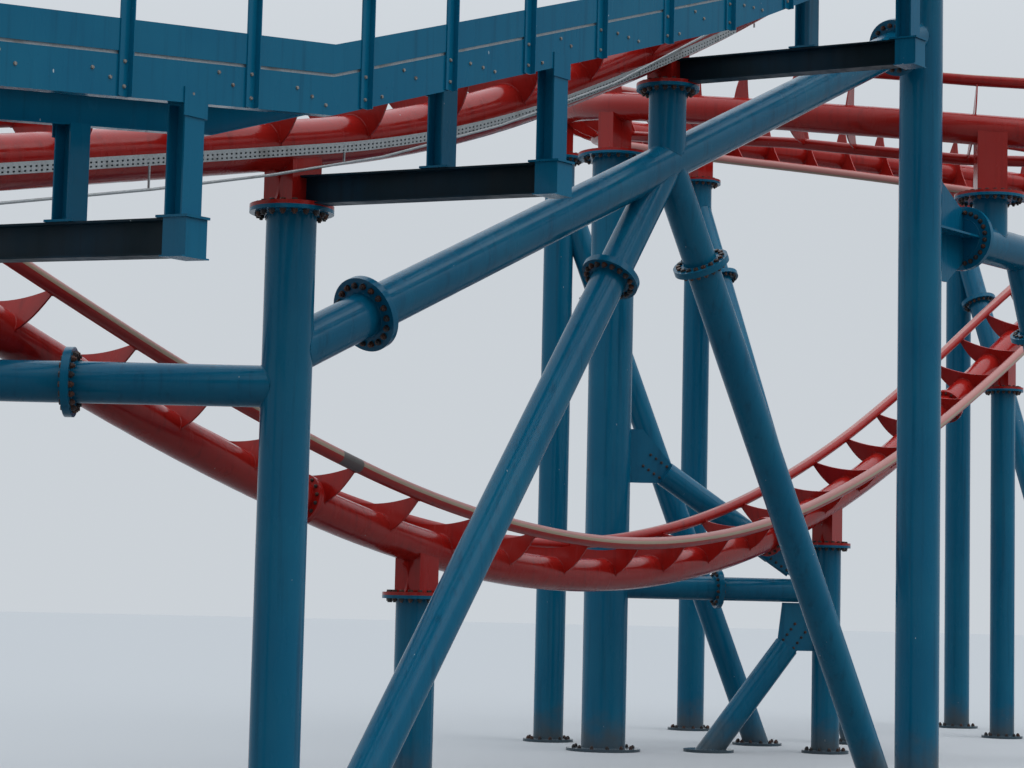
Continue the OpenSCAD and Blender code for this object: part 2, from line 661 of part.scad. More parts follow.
module outrigger_struts() color(blue)
  for (row = lane_posts) {
    strut(row, walk_outer + gap - beam_w / 2, 1);
    strut(row, walk_inner - gap + beam_w / 2, -1);
  }

// The cable tray runs beside the climbing lane's spine on brackets
tray_t = 4;
tray_w = 60;
tray_y = 500;
tray_end = 7060;    // where the tray stops beyond the stub B
tray_low = -145;    // from the spine's axis down to the tray's lower edge
bracket_w = 60;
bracket_t = 10;
// A strip beside the lane between two distances, from z0 to z1 over the spine's axis
module tray_strip(s0, s1, y, t, z0, z1) {
  marks = concat(s0, stations(lane, 1, s0, s1), s1);
  translate([0, y + t, 0]) rotate([90, 0, 0]) linear_extrude(t)
    polygon(concat([for (s = marks) let (p = point_at(lane, s)) [p[0], p[2] + z0]],
      [for (i = [len(marks) - 1:-1:0]) let (p = point_at(lane, marks[i])) [p[0], p[2] + z1]]));
}
module cable_tray() color(zinc) {
  s1 = distance_to(lane, 0, tray_end);
  tray_strip(0, s1, -tray_y - tray_t, tray_t, tray_low, tray_low + tray_h);
  tray_strip(0, s1, -tray_y, tray_w, tray_low, tray_low + tray_t);
  near = lane_spine_d / 2 * cos(180 / spine_sides) + gap;
  for (s = stations(lane, 2, 0, s1))
    let (p = point_at(lane, s + tie_pitch / 2))
      translate([p[0] - bracket_w / 2, -tray_y, p[2] - bracket_t / 2])
        cube([bracket_w, tray_y - near, bracket_t]);
}

column_a();
column_c();
column_k();
tie_tube_end();
tie_tube();
tie_tube_top_end();
stub_b();
near_leg();
far_leg();
cross_tube();
dip_spine(0);  // dip_spine_1
dip_spine(1);  // dip_spine_2
dip_spine(2);  // dip_spine_3
dip_spine(3);  // dip_spine_4
dip_rails(0);  // dip_rails_1
dip_rails(1);  // dip_rails_2
dip_rails(2);  // dip_rails_3
dip_rails(3);  // dip_rails_4
dip_ties(0);  // dip_ties_1
dip_ties(1);  // dip_ties_2
dip_ties(2);  // dip_ties_3
dip_ties(3);  // dip_ties_4
column_under(dip, dip_columns[0]);  // column_g
column_under(dip, dip_columns[1]);  // column_h
column_under(dip, dip_columns[2]);  // column_i
dip_saddles();
lane_spine();
lane_rails();
lane_ties();
lane_saddles();
turn_spine();
turn_rails();
turn_ties();
turn_saddles();
column_under(turn, turn_columns[0]);  // column_e
column_under(turn, turn_columns[1]);  // column_d
column_under(turn, turn_columns[2]);  // column_f
column_under(turn, turn_columns[3]);  // column_j
turn_braces();
gusset_c();
right_tube();
right_stub();
right_leg();
bay_tube();
bay_gussets();
bay_braces();
stringer_outer();
stringer_inner();
walkway_deck();
handrail();
outriggers();
outrigger_struts();
cable_tray();
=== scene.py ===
import json
from math import ceil, cos, floor, pi, radians, sin, sqrt, tan

import bpy
from mathutils import Matrix, Vector


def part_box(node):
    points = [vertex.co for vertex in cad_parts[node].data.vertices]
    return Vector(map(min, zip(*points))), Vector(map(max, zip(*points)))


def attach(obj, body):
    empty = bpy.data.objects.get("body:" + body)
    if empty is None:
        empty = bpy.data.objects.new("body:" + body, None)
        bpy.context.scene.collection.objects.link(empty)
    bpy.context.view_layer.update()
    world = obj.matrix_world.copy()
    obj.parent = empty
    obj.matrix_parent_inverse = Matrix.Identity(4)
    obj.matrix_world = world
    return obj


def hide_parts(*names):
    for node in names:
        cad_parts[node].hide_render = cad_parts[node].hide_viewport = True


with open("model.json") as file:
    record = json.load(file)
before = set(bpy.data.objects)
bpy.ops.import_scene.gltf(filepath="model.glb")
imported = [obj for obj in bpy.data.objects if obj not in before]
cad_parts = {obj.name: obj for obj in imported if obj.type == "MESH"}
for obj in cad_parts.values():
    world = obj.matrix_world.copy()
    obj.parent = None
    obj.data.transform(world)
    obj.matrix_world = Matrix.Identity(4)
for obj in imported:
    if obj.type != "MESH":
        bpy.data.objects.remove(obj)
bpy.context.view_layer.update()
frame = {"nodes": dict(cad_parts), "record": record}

# Lengths are metres and angles are degrees, but the lanes and all distances along them are
# millimetres, as in the part's source. The sizes repeat that source, as the frame holds none.
MM = 0.001
GAP = 0.0003         # between pieces that are bolted or welded together
GAUGE = 1.25         # between the middles of the two rails
RAIL_D = 0.168
RAIL_H = 0.44        # from a spine's axis up to its rails
TIE_T = 0.02
SPINE_D = 0.457
LANE_SPINE_D = 0.508
FLANGE_RATIO = 1.68  # diameter of a flange as a share of its pipe's
JOINT_RATIO = 1.35   # the same for the flanges on the dip's spine
FLANGE_T = 0.04
FOOT_T = 0.045
ORIGIN = Vector((0, 0, 0))
X_AXIS = Vector((1, 0, 0))
FRONT = Vector((0, -1, 0))
Z_AXIS = Vector((0, 0, 1))

# Linear colours
BLUE = (0.0020, 0.122, 0.228)
BLUE_DEEP = (0.0010, 0.052, 0.110)
BLUE_PALE = (0.012, 0.180, 0.285)
DARK_BLUE = (0.0015, 0.013, 0.020)
BLACK_BLUE = (0.0010, 0.006, 0.010)
RED = (0.370, 0.0110, 0.0080)
RED_DEEP = (0.150, 0.0045, 0.0045)
RED_PALE = (0.400, 0.045, 0.035)
PINK = (0.500, 0.250, 0.225)
BEIGE = (0.400, 0.310, 0.220)
GREY = (0.090, 0.090, 0.090)
ZINC = (0.420, 0.440, 0.450)
ZINC_DARK = (0.270, 0.290, 0.300)
RUST = (0.085, 0.030, 0.016)
RUST_DARK = (0.060, 0.030, 0.020)
STEEL = (0.018, 0.020, 0.023)
PALE_STEEL = (0.270, 0.260, 0.240)
CHIP = (0.550, 0.600, 0.620)
DIRT = (0.110, 0.085, 0.060)
SKY = (0.88, 0.94, 1.0)
FLOOR_LIT = (0.17, 0.18, 0.18)
FLOOR_SEEN = (0.54, 0.56, 0.58)

# Materials
NOISE_ROUGH = 0.55
NOISE_MIDDLE = 0.5
COAT_ROUGH = 0.10
BUMP_DEPTH = 0.001
# Sockets of a Mix node that mixes colours
MIX_A = 6
MIX_B = 7
MIX_RESULT = 2


class Nodes:
    """A node tree that is wired by short calls."""

    def __init__(self, tree):
        self.tree = tree

    def add(self, kind, **settings):
        node = self.tree.nodes.new(kind)
        for name, value in settings.items():
            setattr(node, name, value)
        return node

    def link(self, a, b):
        self.tree.links.new(a, b)

    def noise(self, coords, scale, detail=4.0):
        node = self.add("ShaderNodeTexNoise")
        node.inputs["Scale"].default_value = scale
        node.inputs["Detail"].default_value = detail
        node.inputs["Roughness"].default_value = NOISE_ROUGH
        self.link(coords, node.inputs["Vector"])
        return node.outputs["Fac"]

    def stretch(self, coords, scale):
        node = self.add("ShaderNodeMapping")
        node.inputs["Scale"].default_value = scale
        self.link(coords, node.inputs["Vector"])
        return node.outputs["Vector"]

    def ramp(self, value, low, high, at_low=0.0, at_high=1.0):
        node = self.add("ShaderNodeMapRange", interpolation_type="SMOOTHSTEP")
        self.link(value, node.inputs["Value"])
        node.inputs["From Min"].default_value = low
        node.inputs["From Max"].default_value = high
        node.inputs["To Min"].default_value = at_low
        node.inputs["To Max"].default_value = at_high
        return node.outputs["Result"]

    def mix(self, fac, a, b):
        node = self.add("ShaderNodeMix", data_type="RGBA")
        self.link(fac, node.inputs["Factor"])
        for socket, value in ((node.inputs[MIX_A], a), (node.inputs[MIX_B], b)):
            if isinstance(value, tuple):
                socket.default_value = (*value, 1.0)
            else:
                self.link(value, socket)
        return node.outputs[MIX_RESULT]

    def math(self, kind, a, b):
        node = self.add("ShaderNodeMath", operation=kind)
        for socket, value in zip(node.inputs, (a, b)):
            if isinstance(value, (int, float)):
                socket.default_value = value
            else:
                self.link(value, socket)
        return node.outputs["Value"]

    def attribute(self, name):
        return self.add("ShaderNodeAttribute", attribute_name=name).outputs["Fac"]

    def height(self, coords):
        node = self.add("ShaderNodeSeparateXYZ")
        self.link(coords, node.inputs["Vector"])
        return node.outputs["Z"]


def start_material(name, rough, metallic=0.0, coat=0.0, specular=0.5):
    material = bpy.data.materials.new(name)
    material.use_nodes = True
    tree = Nodes(material.node_tree)
    shader = material.node_tree.nodes["Principled BSDF"]
    shader.inputs["Roughness"].default_value = rough
    shader.inputs["Metallic"].default_value = metallic
    shader.inputs["Coat Weight"].default_value = coat
    shader.inputs["Coat Roughness"].default_value = COAT_ROUGH
    shader.inputs["Specular IOR Level"].default_value = specular
    coords = tree.add("ShaderNodeTexCoord").outputs["Object"]
    return material, tree, shader, coords


def bump(tree, shader, coords, scale, detail, strength):
    node = tree.add("ShaderNodeBump")
    node.inputs["Strength"].default_value = strength
    node.inputs["Distance"].default_value = BUMP_DEPTH
    tree.link(tree.noise(coords, scale, detail), node.inputs["Height"])
    tree.link(node.outputs["Normal"], shader.inputs["Normal"])


# Layers of weather: a noise's scale, detail and stretch, its values where the layer starts and where
# it is full, and how much of the layer's colour shows there
PATCHES = {"scale": 0.8, "detail": 4.0, "start": 0.38, "full": 0.72, "most": 0.30}
RUNS = {"stretch": (11.0, 11.0, 0.5), "scale": 1.0, "detail": 5.0, "start": 0.50, "full": 0.80, "most": 0.55}
SPECKS = {"scale": 48.0, "detail": 2.0, "start": 0.70, "full": 0.76, "most": 0.40}
CHIPS = {"stretch": (1.0, 1.0, 0.35), "scale": 26.0, "detail": 1.0, "start": 0.815, "full": 0.825}
STAINS = {"scale": 4.0, "detail": 5.0, "start": 0.52, "full": 0.75, "most": 0.5}
RUST_SPOTS = {"scale": 9.0, "detail": 5.0}
RUST_EDGE = 0.14     # from the noise's value where rust starts to the one where it is full
RUST_GRAIN = {"scale": 120.0, "detail": 3.0, "start": 0.4, "full": 0.7, "most": 0.6}
# Dirt that was splashed up from the ground, and the heights between which it fades out
SPLASH_FADE = (0.35, 1.1)
SPLASH_MOST = 0.65
SPLASH_SCALE = 3.0
SPLASH_UNEVEN = 0.8  # how much a noise moves those heights
# A slow change of the paint's roughness
SHEEN_STRETCH = (5.0, 5.0, 1.2)
SHEEN_RAMP = (0.3, 0.8)
SHEEN_LESS = 0.06
SHEEN_MORE = 0.16
# Zones of a rail's paint, as [mark on the points, how much a noise frays it, start, full, most, colour]
RAIL_ZONES = [
    ["faded", 0.5, 0.44, 0.62, 0.75, PINK],
    ["worn", 0.25, 0.46, 0.56, 1.0, BEIGE],
    ["bare", 0.0, 0.45, 0.55, 0.9, GREY],
]
FRAY_SCALE = 7.0
SPANGLE_SCALE = 60.0
SPANGLE_MOST = 0.9


def layer(tree, coords, under, over, scale, detail, start, full, most=1.0, stretch=(1.0, 1.0, 1.0)):
    """A colour with another one laid over it where a noise is high."""
    level = tree.noise(tree.stretch(coords, stretch), scale, detail)
    return tree.mix(tree.ramp(level, start, full, 0.0, most), under, over)


def weathered(tree, coords, base, deep, pale):
    """Paint that has faded in patches, with runs of dirt, specks, a few chips and splashed feet."""
    colour = base
    for over, look in ((pale, PATCHES), (deep, RUNS), (deep, SPECKS), (CHIP, CHIPS)):
        colour = layer(tree, coords, colour, over, **look)
    uneven = tree.math("MULTIPLY", tree.noise(coords, SPLASH_SCALE), SPLASH_UNEVEN)
    height = tree.math("ADD", tree.height(coords), uneven)
    return tree.mix(tree.ramp(height, *SPLASH_FADE, SPLASH_MOST, 0.0), colour, DIRT)


def paint(name, base, deep, pale, rough, coat, specular):
    material, tree, shader, coords = start_material(name, rough, coat=coat, specular=specular)
    tree.link(weathered(tree, coords, base, deep, pale), shader.inputs["Base Color"])
    sheen = tree.noise(tree.stretch(coords, SHEEN_STRETCH), scale=1.0)
    sheen = tree.ramp(sheen, *SHEEN_RAMP, rough - SHEEN_LESS, rough + SHEEN_MORE)
    tree.link(sheen, shader.inputs["Roughness"])
    bump(tree, shader, coords, scale=180.0, detail=2.0, strength=0.05)
    return material


def rail_paint(name):
    """Red paint, faded on top, with the beige track that the side wheels have worn along it."""
    material, tree, shader, coords = start_material(name, rough=0.32, coat=0.05, specular=0.25)
    colour = weathered(tree, coords, RED, RED_DEEP, RED_PALE)
    noise = tree.math("SUBTRACT", tree.noise(coords, FRAY_SCALE), NOISE_MIDDLE)
    for mark, fray, start, full, most, over in RAIL_ZONES:
        level = tree.math("ADD", tree.attribute(mark), tree.math("MULTIPLY", noise, fray))
        colour = tree.mix(tree.ramp(level, start, full, 0.0, most), colour, over)
    tree.link(colour, shader.inputs["Base Color"])
    bump(tree, shader, coords, scale=160.0, detail=2.0, strength=0.08)
    return material


def zinc(name):
    """Galvanised steel with spangles and stains."""
    material, tree, shader, coords = start_material(name, rough=0.5, metallic=0.5)
    spangle = tree.add("ShaderNodeTexVoronoi")
    spangle.inputs["Scale"].default_value = SPANGLE_SCALE
    tree.link(coords, spangle.inputs["Vector"])
    tone = tree.math("MULTIPLY", spangle.outputs["Distance"], SPANGLE_MOST)
    colour = layer(tree, coords, tree.mix(tone, ZINC, ZINC_DARK), DIRT, **STAINS)
    tree.link(colour, shader.inputs["Base Color"])
    bump(tree, shader, coords, scale=90.0, detail=4.0, strength=0.1)
    return material


def bolt_steel(name, base, rust_from):
    """Steel with rust in blotches, where a noise is above rust_from."""
    material, tree, shader, coords = start_material(name, rough=0.5, metallic=0.3)
    colour = layer(tree, coords, base, RUST, start=rust_from, full=rust_from + RUST_EDGE, **RUST_SPOTS)
    colour = layer(tree, coords, colour, RUST_DARK, **RUST_GRAIN)
    tree.link(colour, shader.inputs["Base Color"])
    bump(tree, shader, coords, scale=300.0, detail=4.0, strength=0.3)
    return material


MATERIALS = {
    "blue": paint("blue_paint", BLUE, BLUE_DEEP, BLUE_PALE, rough=0.22, coat=0.12, specular=0.10),
    # Dark paint that the strip behind the cable tray's slots uses, as painted shade for the inside of the
    # tray and its cables
    "dark_blue": paint("dark_blue_paint", DARK_BLUE, BLACK_BLUE, BLUE_DEEP,
                       rough=0.45, coat=0.0, specular=0.12),
    "red": paint("red_paint", RED, RED_DEEP, RED_PALE, rough=0.20, coat=0.08, specular=0.20),
    "rail": rail_paint("rail_paint"),
    "zinc": zinc("zinc_steel"),
    "bolt": bolt_steel("bolt_steel", STEEL, rust_from=0.46),
    "pale_bolt": bolt_steel("pale_bolt_steel", PALE_STEEL, rust_from=0.55),
}
for row in frame["record"]["subparts"]:
    node = frame["nodes"][row["node"]]
    node.data.materials.clear()
    node.data.materials.append(MATERIALS[row["material_slot"]])

# Mesh helpers
NEARLY_PARALLEL = 0.01  # length of the cross product of two directions that count as parallel
SHARP_ANGLE = 35        # faces that meet at more than this have a sharp edge between them


def frame_of(axis):
    """Two directions square to an axis."""
    axis = axis.normalized()
    side = axis.cross(Z_AXIS)
    if side.length < NEARLY_PARALLEL:
        side = X_AXIS.copy()
    side.normalize()
    return side, side.cross(axis)


def circle(centre, axis, radius, count):
    u, v = frame_of(axis)
    angles = [2 * pi * k / count for k in range(count)]
    return [centre + radius * (cos(a) * u + sin(a) * v) for a in angles]


class Shape:
    """Points and faces that are gathered into one mesh, with numbers on the points for the paint."""

    def __init__(self):
        self.points = []
        self.faces = []
        self.marks = {}

    def loft(self, rings, closed=False):
        """Joins rings of equally many points, and closes both ends unless the last ring meets the first."""
        first = len(self.points)
        n = len(rings[0])
        for ring in rings:
            self.points.extend(ring)
        last = len(rings) if closed else len(rings) - 1
        for i in range(last):
            here = first + i * n
            there = first + (i + 1) % len(rings) * n
            for k in range(n):
                m = (k + 1) % n
                self.faces.append((here + k, here + m, there + m, there + k))
        if not closed:
            self.faces.append(tuple(first + k for k in range(n - 1, -1, -1)))
            self.faces.append(tuple(first + (len(rings) - 1) * n + k for k in range(n)))

    def turned(self, centre, axis, profile, sides, phase=0.0):
        """A solid of revolution from (radius, height) pairs, or a prism where there are few sides."""
        u, v = frame_of(axis)
        axis = axis.normalized()
        angles = [2 * pi * (k + phase) / sides for k in range(sides)]
        rings = []
        for radius, height in profile:
            middle = centre + height * axis
            rings.append([middle + radius * (cos(a) * v + sin(a) * u) for a in angles])
        self.loft(rings)

    def box(self, low, high):
        x0, y0, z0 = low
        x1, y1, z1 = high
        corners = ((x0, y0), (x1, y0), (x1, y1), (x0, y1))
        self.loft([[Vector((x, y, z)) for x, y in corners] for z in (z0, z1)])

    def bead(self, path, radius, closed, sides=6):
        """A round bead along a path of points."""
        rings = []
        n = len(path)
        for i, p in enumerate(path):
            before = path[i - 1] if closed or i else p
            after = path[(i + 1) % n] if closed or i < n - 1 else p
            rings.append(circle(p, after - before, radius, sides))
        self.loft(rings, closed)

    def strip(self, outline, y0, y1):
        """A plate whose outline in X and Z runs from y0 to y1."""
        self.loft([[Vector((x, y, z)) for x, z in outline] for y in (y0, y1)])


def piece(name, shape, slot, material=None, replaced=()):
    """An object of the scene, in its slot's material unless another one is named."""
    mesh = bpy.data.meshes.new(name)
    mesh.from_pydata(shape.points, [], shape.faces)
    for mark, values in shape.marks.items():
        mesh.attributes.new(mark, "FLOAT", "POINT").data.foreach_set("value", values)
    mesh.polygons.foreach_set("use_smooth", [True] * len(mesh.polygons))
    mesh.set_sharp_from_angle(angle=radians(SHARP_ANGLE))
    mesh.materials.append(MATERIALS[material or slot])
    obj = bpy.data.objects.new(name, mesh)
    bpy.context.scene.collection.objects.link(obj)
    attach(obj, "root")
    if replaced:
        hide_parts(*replaced)


# Tracks, walked as in the part's source
WALK_STEP = 50
TIE_CLEAR = 80  # from the ends of a length of track to the nearest tie plate, at least
# Columns of a lane's rows
HEADING = 1
PITCH = 2
ROLL = 3


class Track:
    """A lane of [distance, heading, pitch, roll] with the places of its tie plates."""

    def __init__(self, lane, start, length, first_tie, pitch, spine_d):
        self.lane = lane
        self.first_tie = first_tie
        self.pitch = pitch
        self.spine_d = spine_d
        point = Vector(start)
        self.path = [point]
        for i in range(length // WALK_STEP):
            point = point + WALK_STEP * self.direction((i + 0.5) * WALK_STEP)
            self.path.append(point)

    def angle(self, s, column):
        rows = self.lane
        if s <= rows[0][0]:
            return rows[0][column]
        for a, b in zip(rows, rows[1:]):
            if s <= b[0]:
                share = (s - a[0]) / (b[0] - a[0])
                return a[column] + share * (b[column] - a[column])
        return rows[-1][column]

    def direction(self, s):
        heading, pitch = radians(self.angle(s, HEADING)), radians(self.angle(s, PITCH))
        return Vector((cos(heading) * cos(pitch), sin(heading) * cos(pitch), sin(pitch)))

    def at(self, s):
        """Place, side, up and direction at a distance, the place in metres."""
        heading, roll = radians(self.angle(s, HEADING)), radians(self.angle(s, ROLL))
        level = Vector((sin(heading), -cos(heading), 0))
        along = self.direction(s)
        side = level * cos(roll) - level.cross(along) * sin(roll)
        k = min(floor(s / WALK_STEP), len(self.path) - 2)
        share = s / WALK_STEP - k
        place = self.path[k].lerp(self.path[k + 1], share) * MM
        return place, side, side.cross(along), along

    def stations(self, pitches, s0, s1):
        """Distances of the tie plates between s0 and s1, or of every second one where pitches is 2."""
        step = pitches * self.pitch
        first = ceil((s0 + TIE_CLEAR - self.first_tie) / step)
        last = floor((s1 - TIE_CLEAR - self.first_tie) / step)
        return [self.first_tie + k * step for k in range(first, last + 1)]


DIP_LANE = [
    [0, 5.3, -19.6, -0.9], [2300, 5.3, -18.8, -1.6], [6500, 5.3, -13.5, -2.2],
    [10550, 5.3, -4.4, -1.5], [14550, 5.3, 6.4, 0.6], [18650, 5.3, 16.7, 4.1],
    [22900, 5.3, 23.8, 8.8], [27350, 5.3, 26.9, 14.9], [31800, 5.3, 24.9, 22.2],
]
DIP_JOINTS = [0, 6300, 17820, 25130, 30700]  # distances of both ends and of the joints between them
DIP_LENGTHS = range(len(DIP_JOINTS) - 1)
CLIMB_LANE = [
    [0, 0, 11.8, 0], [6500, 0, 12, 0], [10600, 0, 23, 0], [13200, 0, 25, 0],
    [15200, 0, 28, 0], [21500, 0, 28, 0],
]
TURN_LANE = [
    [0, 141, 0, 50], [2500, 124.5, 4.5, 61], [5500, 93, 9.8, 60], [8500, 81, 9.9, 68],
    [11500, 43.5, 7.2, 69], [14500, 0.5, 4.3, 66.5], [18500, -19, 1.7, 68], [26000, -23.5, -1.2, 72],
]
CLIMB_LENGTH = 21250
TURN_LENGTH = 25700
TIE_PITCH = 1300
TURN_TIE_PITCH = 960
dip = Track(DIP_LANE, start=(-2950, 2230, 5340), length=DIP_JOINTS[-1],
            first_tie=1270, pitch=TIE_PITCH, spine_d=SPINE_D)
climb = Track(CLIMB_LANE, start=(-6400, 0, 5520), length=CLIMB_LENGTH,
              first_tie=900, pitch=TIE_PITCH, spine_d=LANE_SPINE_D)
turn = Track(TURN_LANE, start=(16000, -1560, 9440), length=TURN_LENGTH,
             first_tie=500, pitch=TURN_TIE_PITCH, spine_d=SPINE_D)

RING_STEP = 130        # from one ring of points on a pipe to the next, at most
END_BACK = 1           # how far spines and rails keep from the ends of their lengths
PIPE_SIDES = 48
RAIL_SIDES = 24
FLANGE_INNER_R = 0.01  # where a flange's faces start, hidden in the pipe
FLANGE_EDGE = 0.003
# The zones of a rail's paint, as [middle, half width] in degrees from its outer side up over its top
WORN_ZONE = (8, 15)
FADED_ZONE = (68, 50)
SOFT_EDGE = 10         # width of a zone's edge in degrees
# The stretch of the dip's right rail that was left bare, as distances along the dip
BARE_STRETCH = (6120, 6520)


def spread(s0, s1):
    count = ceil((s1 - s0) / RING_STEP)
    return [s0 + (s1 - s0) * i / count for i in range(count + 1)]


def spine_pipe(shape, track, s0, s1):
    rings = []
    radius = track.spine_d / 2
    angles = [2 * pi * k / PIPE_SIDES for k in range(PIPE_SIDES)]
    for s in spread(s0, s1):
        place, side, up, _ = track.at(s)
        rings.append([place + radius * (cos(a) * side + sin(a) * up) for a in angles])
    shape.loft(rings)


def zone(angle, middle, half):
    """1 inside a zone of angles and 0 outside, with a soft edge."""
    off = abs((angle - middle + 180) % 360 - 180)
    return min(1.0, max(0.0, 0.5 + (half - off) / SOFT_EDGE))


def rail_pair(name, track, s0, s1, bare=(0, 0)):
    """Both rails of a length of track, with marks on their points where the paint is worn or gone."""
    shape = Shape()
    worn, faded, bared = [], [], []
    for hand in (-1, 1):
        rings = []
        for s in spread(s0 + END_BACK, s1 - END_BACK):
            place, side, up, _ = track.at(s)
            middle = place + hand * GAUGE / 2 * side + RAIL_H * up
            is_bare = hand == 1 and bare[0] < s < bare[1]
            ring = []
            for k in range(RAIL_SIDES)[::hand]:
                angle = 360 * k / RAIL_SIDES
                out, rise = cos(radians(angle)) * hand, sin(radians(angle))
                ring.append(middle + RAIL_D / 2 * (out * side + rise * up))
                worn.append(zone(angle, *WORN_ZONE))
                faded.append(zone(angle, *FADED_ZONE))
                bared.append(1.0 if is_bare else 0.0)
            rings.append(ring)
        shape.loft(rings)
    shape.marks = {"worn": worn, "faded": faded, "bare": bared}
    piece(name + "_pair", shape, "rail", replaced=(name,))


def joint_flange(shape, centre, axis):
    outer = SPINE_D / 2 * JOINT_RATIO
    rim = [(outer - FLANGE_EDGE, 0), (outer, FLANGE_EDGE),
           (outer, FLANGE_T - FLANGE_EDGE), (outer - FLANGE_EDGE, FLANGE_T)]
    shape.turned(centre, axis, [(FLANGE_INNER_R, 0), *rim, (FLANGE_INNER_R, FLANGE_T)], PIPE_SIDES)


for i in DIP_LENGTHS:
    pipe = Shape()
    s0 = DIP_JOINTS[i] + GAP / MM
    s1 = DIP_JOINTS[i + 1] - FLANGE_T / MM - GAP / MM
    spine_pipe(pipe, dip, s0 + END_BACK, s1 + FLANGE_T / MM - END_BACK)
    for s in (s0, s1):
        place, _, _, along = dip.at(s)
        joint_flange(pipe, place, along)
    piece("dip_spine_%d_pipe" % (i + 1), pipe, "red", replaced=("dip_spine_%d" % (i + 1),))
    rail_pair("dip_rails_%d" % (i + 1), dip, DIP_JOINTS[i], DIP_JOINTS[i + 1], BARE_STRETCH)
for name, track, length in (("lane", climb, CLIMB_LENGTH), ("turn", turn, TURN_LENGTH)):
    pipe = Shape()
    spine_pipe(pipe, track, END_BACK, length - END_BACK)
    piece(name + "_spine_pipe", pipe, "red", replaced=(name + "_spine",))
    rail_pair(name + "_rails", track, 0, length)

# Weld beads
WELD_R = 0.008
WELD_OUT = WELD_R / 3  # from the pipe's surface out to the bead's axis
WELD_POINTS = 56
WELD_INSIDE = 0.001    # two pipes of one size only just meet, so their bead lies this far inside
# Beads along a tie plate, as [angle of the start, sweep, steps, radius of the bead]
SPINE_BEAD = [-4, 188, 20, 0.007]
RAIL_BEAD = [182, 82, 8, 0.006]
TIE_BEAD_OUT = 0.002


def ring_weld(shape, centre, axis, radius):
    shape.bead(circle(centre, axis, radius + WELD_OUT, WELD_POINTS), WELD_R, True)


def branch_weld(shape, start, axis, radius, on_point, on_axis, on_radius):
    """The bead where a pipe that runs along axis from start meets the side of another pipe."""
    axis, on_axis = axis.normalized(), on_axis.normalized()
    path = []
    for p in circle(start, axis, radius, WELD_POINTS):
        gap = (p - on_point) - (p - on_point).dot(on_axis) * on_axis
        run = axis - axis.dot(on_axis) * on_axis
        a, b, c = run.dot(run), 2 * gap.dot(run), gap.dot(gap) - on_radius ** 2
        inside = b * b - 4 * a * c
        if inside < 0:
            return
        path.append(p + (-b - sqrt(inside)) / (2 * a) * axis)
    shape.bead(path, WELD_R, True)


def floor_weld(shape, toe, axis, radius, height):
    """The bead where a raking pipe meets the top of its foot plate."""
    axis = axis.normalized()
    path = []
    for p in circle(toe, axis, radius + WELD_OUT, WELD_POINTS):
        path.append(p + (height - p.z) / axis.z * axis)
    shape.bead(path, WELD_R, True)


def arc_weld(shape, centre, right, up, radius, arc):
    """A bead along an arc whose angles go from right to up."""
    start, sweep, steps, bead_r = arc
    angles = [radians(start + sweep * k / steps) for k in range(steps + 1)]
    radius += TIE_BEAD_OUT
    shape.bead([centre + radius * (cos(a) * right + sin(a) * up) for a in angles], bead_r, False)


def tie_welds(name, track, s0, s1):
    shape = Shape()
    for s in track.stations(1, s0, s1):
        place, side, up, along = track.at(s)
        for face in (-1, 1):
            middle = place + face * TIE_T / 2 * along
            arc_weld(shape, middle, side, up, track.spine_d / 2, SPINE_BEAD)
            for hand in (-1, 1):
                rail = middle + hand * GAUGE / 2 * side + RAIL_H * up
                arc_weld(shape, rail, hand * side, up, RAIL_D / 2, RAIL_BEAD)
    piece(name, shape, "red")


for i in DIP_LENGTHS:
    tie_welds("dip_tie_welds_%d" % (i + 1), dip, DIP_JOINTS[i], DIP_JOINTS[i + 1])
tie_welds("lane_tie_welds", climb, 0, CLIMB_LENGTH)
tie_welds("turn_tie_welds", turn, 0, TURN_LENGTH)


# Bolts
class BoltSize:
    """Sizes that follow from a bolt's thread, where head and washer are radii."""

    def __init__(self, thread):
        self.shank = thread / 2
        self.head = 0.88 * thread
        self.head_h = 0.63 * thread
        self.nut_h = 0.80 * thread
        self.washer = 0.98 * thread
        self.washer_t = 0.14 * thread
        self.stub = 0.45 * thread
        self.edge = 0.1 * self.head
        self.bevel = 1.4 * self.edge


M36 = BoltSize(0.036)
M30 = BoltSize(0.030)
M24 = BoltSize(0.024)
M16 = BoltSize(0.016)
WASHER_SIDES = 14
HEXAGON = 6
THREAD_SIDES = 10
RING_PHASE = 0.5    # the first bolt of a ring stands half a step on from the ring's start
RING_SPIN = 0.37    # share of a hexagon's side by which each bolt is turned from the one before
# Numbers of bolts in a ring
ANCHOR_RING = 12
BAY_RING = 16
SPINE_RING = 16
PIPE_RING = 18
WIDE_RING = 20
RIGHT_RING = 24
WIDE_PIPE = 0.6     # columns wider than this have the wide ring
BEAM_SECTOR = 0.5   # sine of the angle that an outrigger beam covers to each side


def bolt_end(shape, place, axis, size, is_nut, phase=0.0):
    """A washer with a hexagon on it, and for a nut the bolt's end."""
    shape.turned(place, axis, [(size.washer, 0), (size.washer, size.washer_t)], WASHER_SIDES)
    height = size.washer_t + (size.nut_h if is_nut else size.head_h)
    hexagon = [(size.head, size.washer_t), (size.head, height - size.edge), (size.head - size.bevel, height)]
    shape.turned(place, axis, hexagon, HEXAGON, phase)
    if is_nut:
        tip = height + size.stub
        thread = [(size.shank, height), (size.shank, tip - size.edge), (size.shank - size.edge, tip)]
        shape.turned(place, axis, thread, THREAD_SIDES)


def bolt_ring(shape, centre, axis, radius, count, size, low, high, heads=None):
    """Bolts on a circle: heads at the height high on the axis, nuts at low."""
    axis = axis.normalized()
    u, v = frame_of(axis)
    for k in range(count):
        a = 2 * pi * (k + RING_PHASE) / count
        way = cos(a) * u + sin(a) * v
        place = centre + radius * way
        spin = k * RING_SPIN % 1.0
        if high is not None and (heads is None or heads(way)):
            bolt_end(shape, place + high * axis, axis, size, False, spin)
        if low is not None:
            bolt_end(shape, place + low * axis, -axis, size, True, spin)


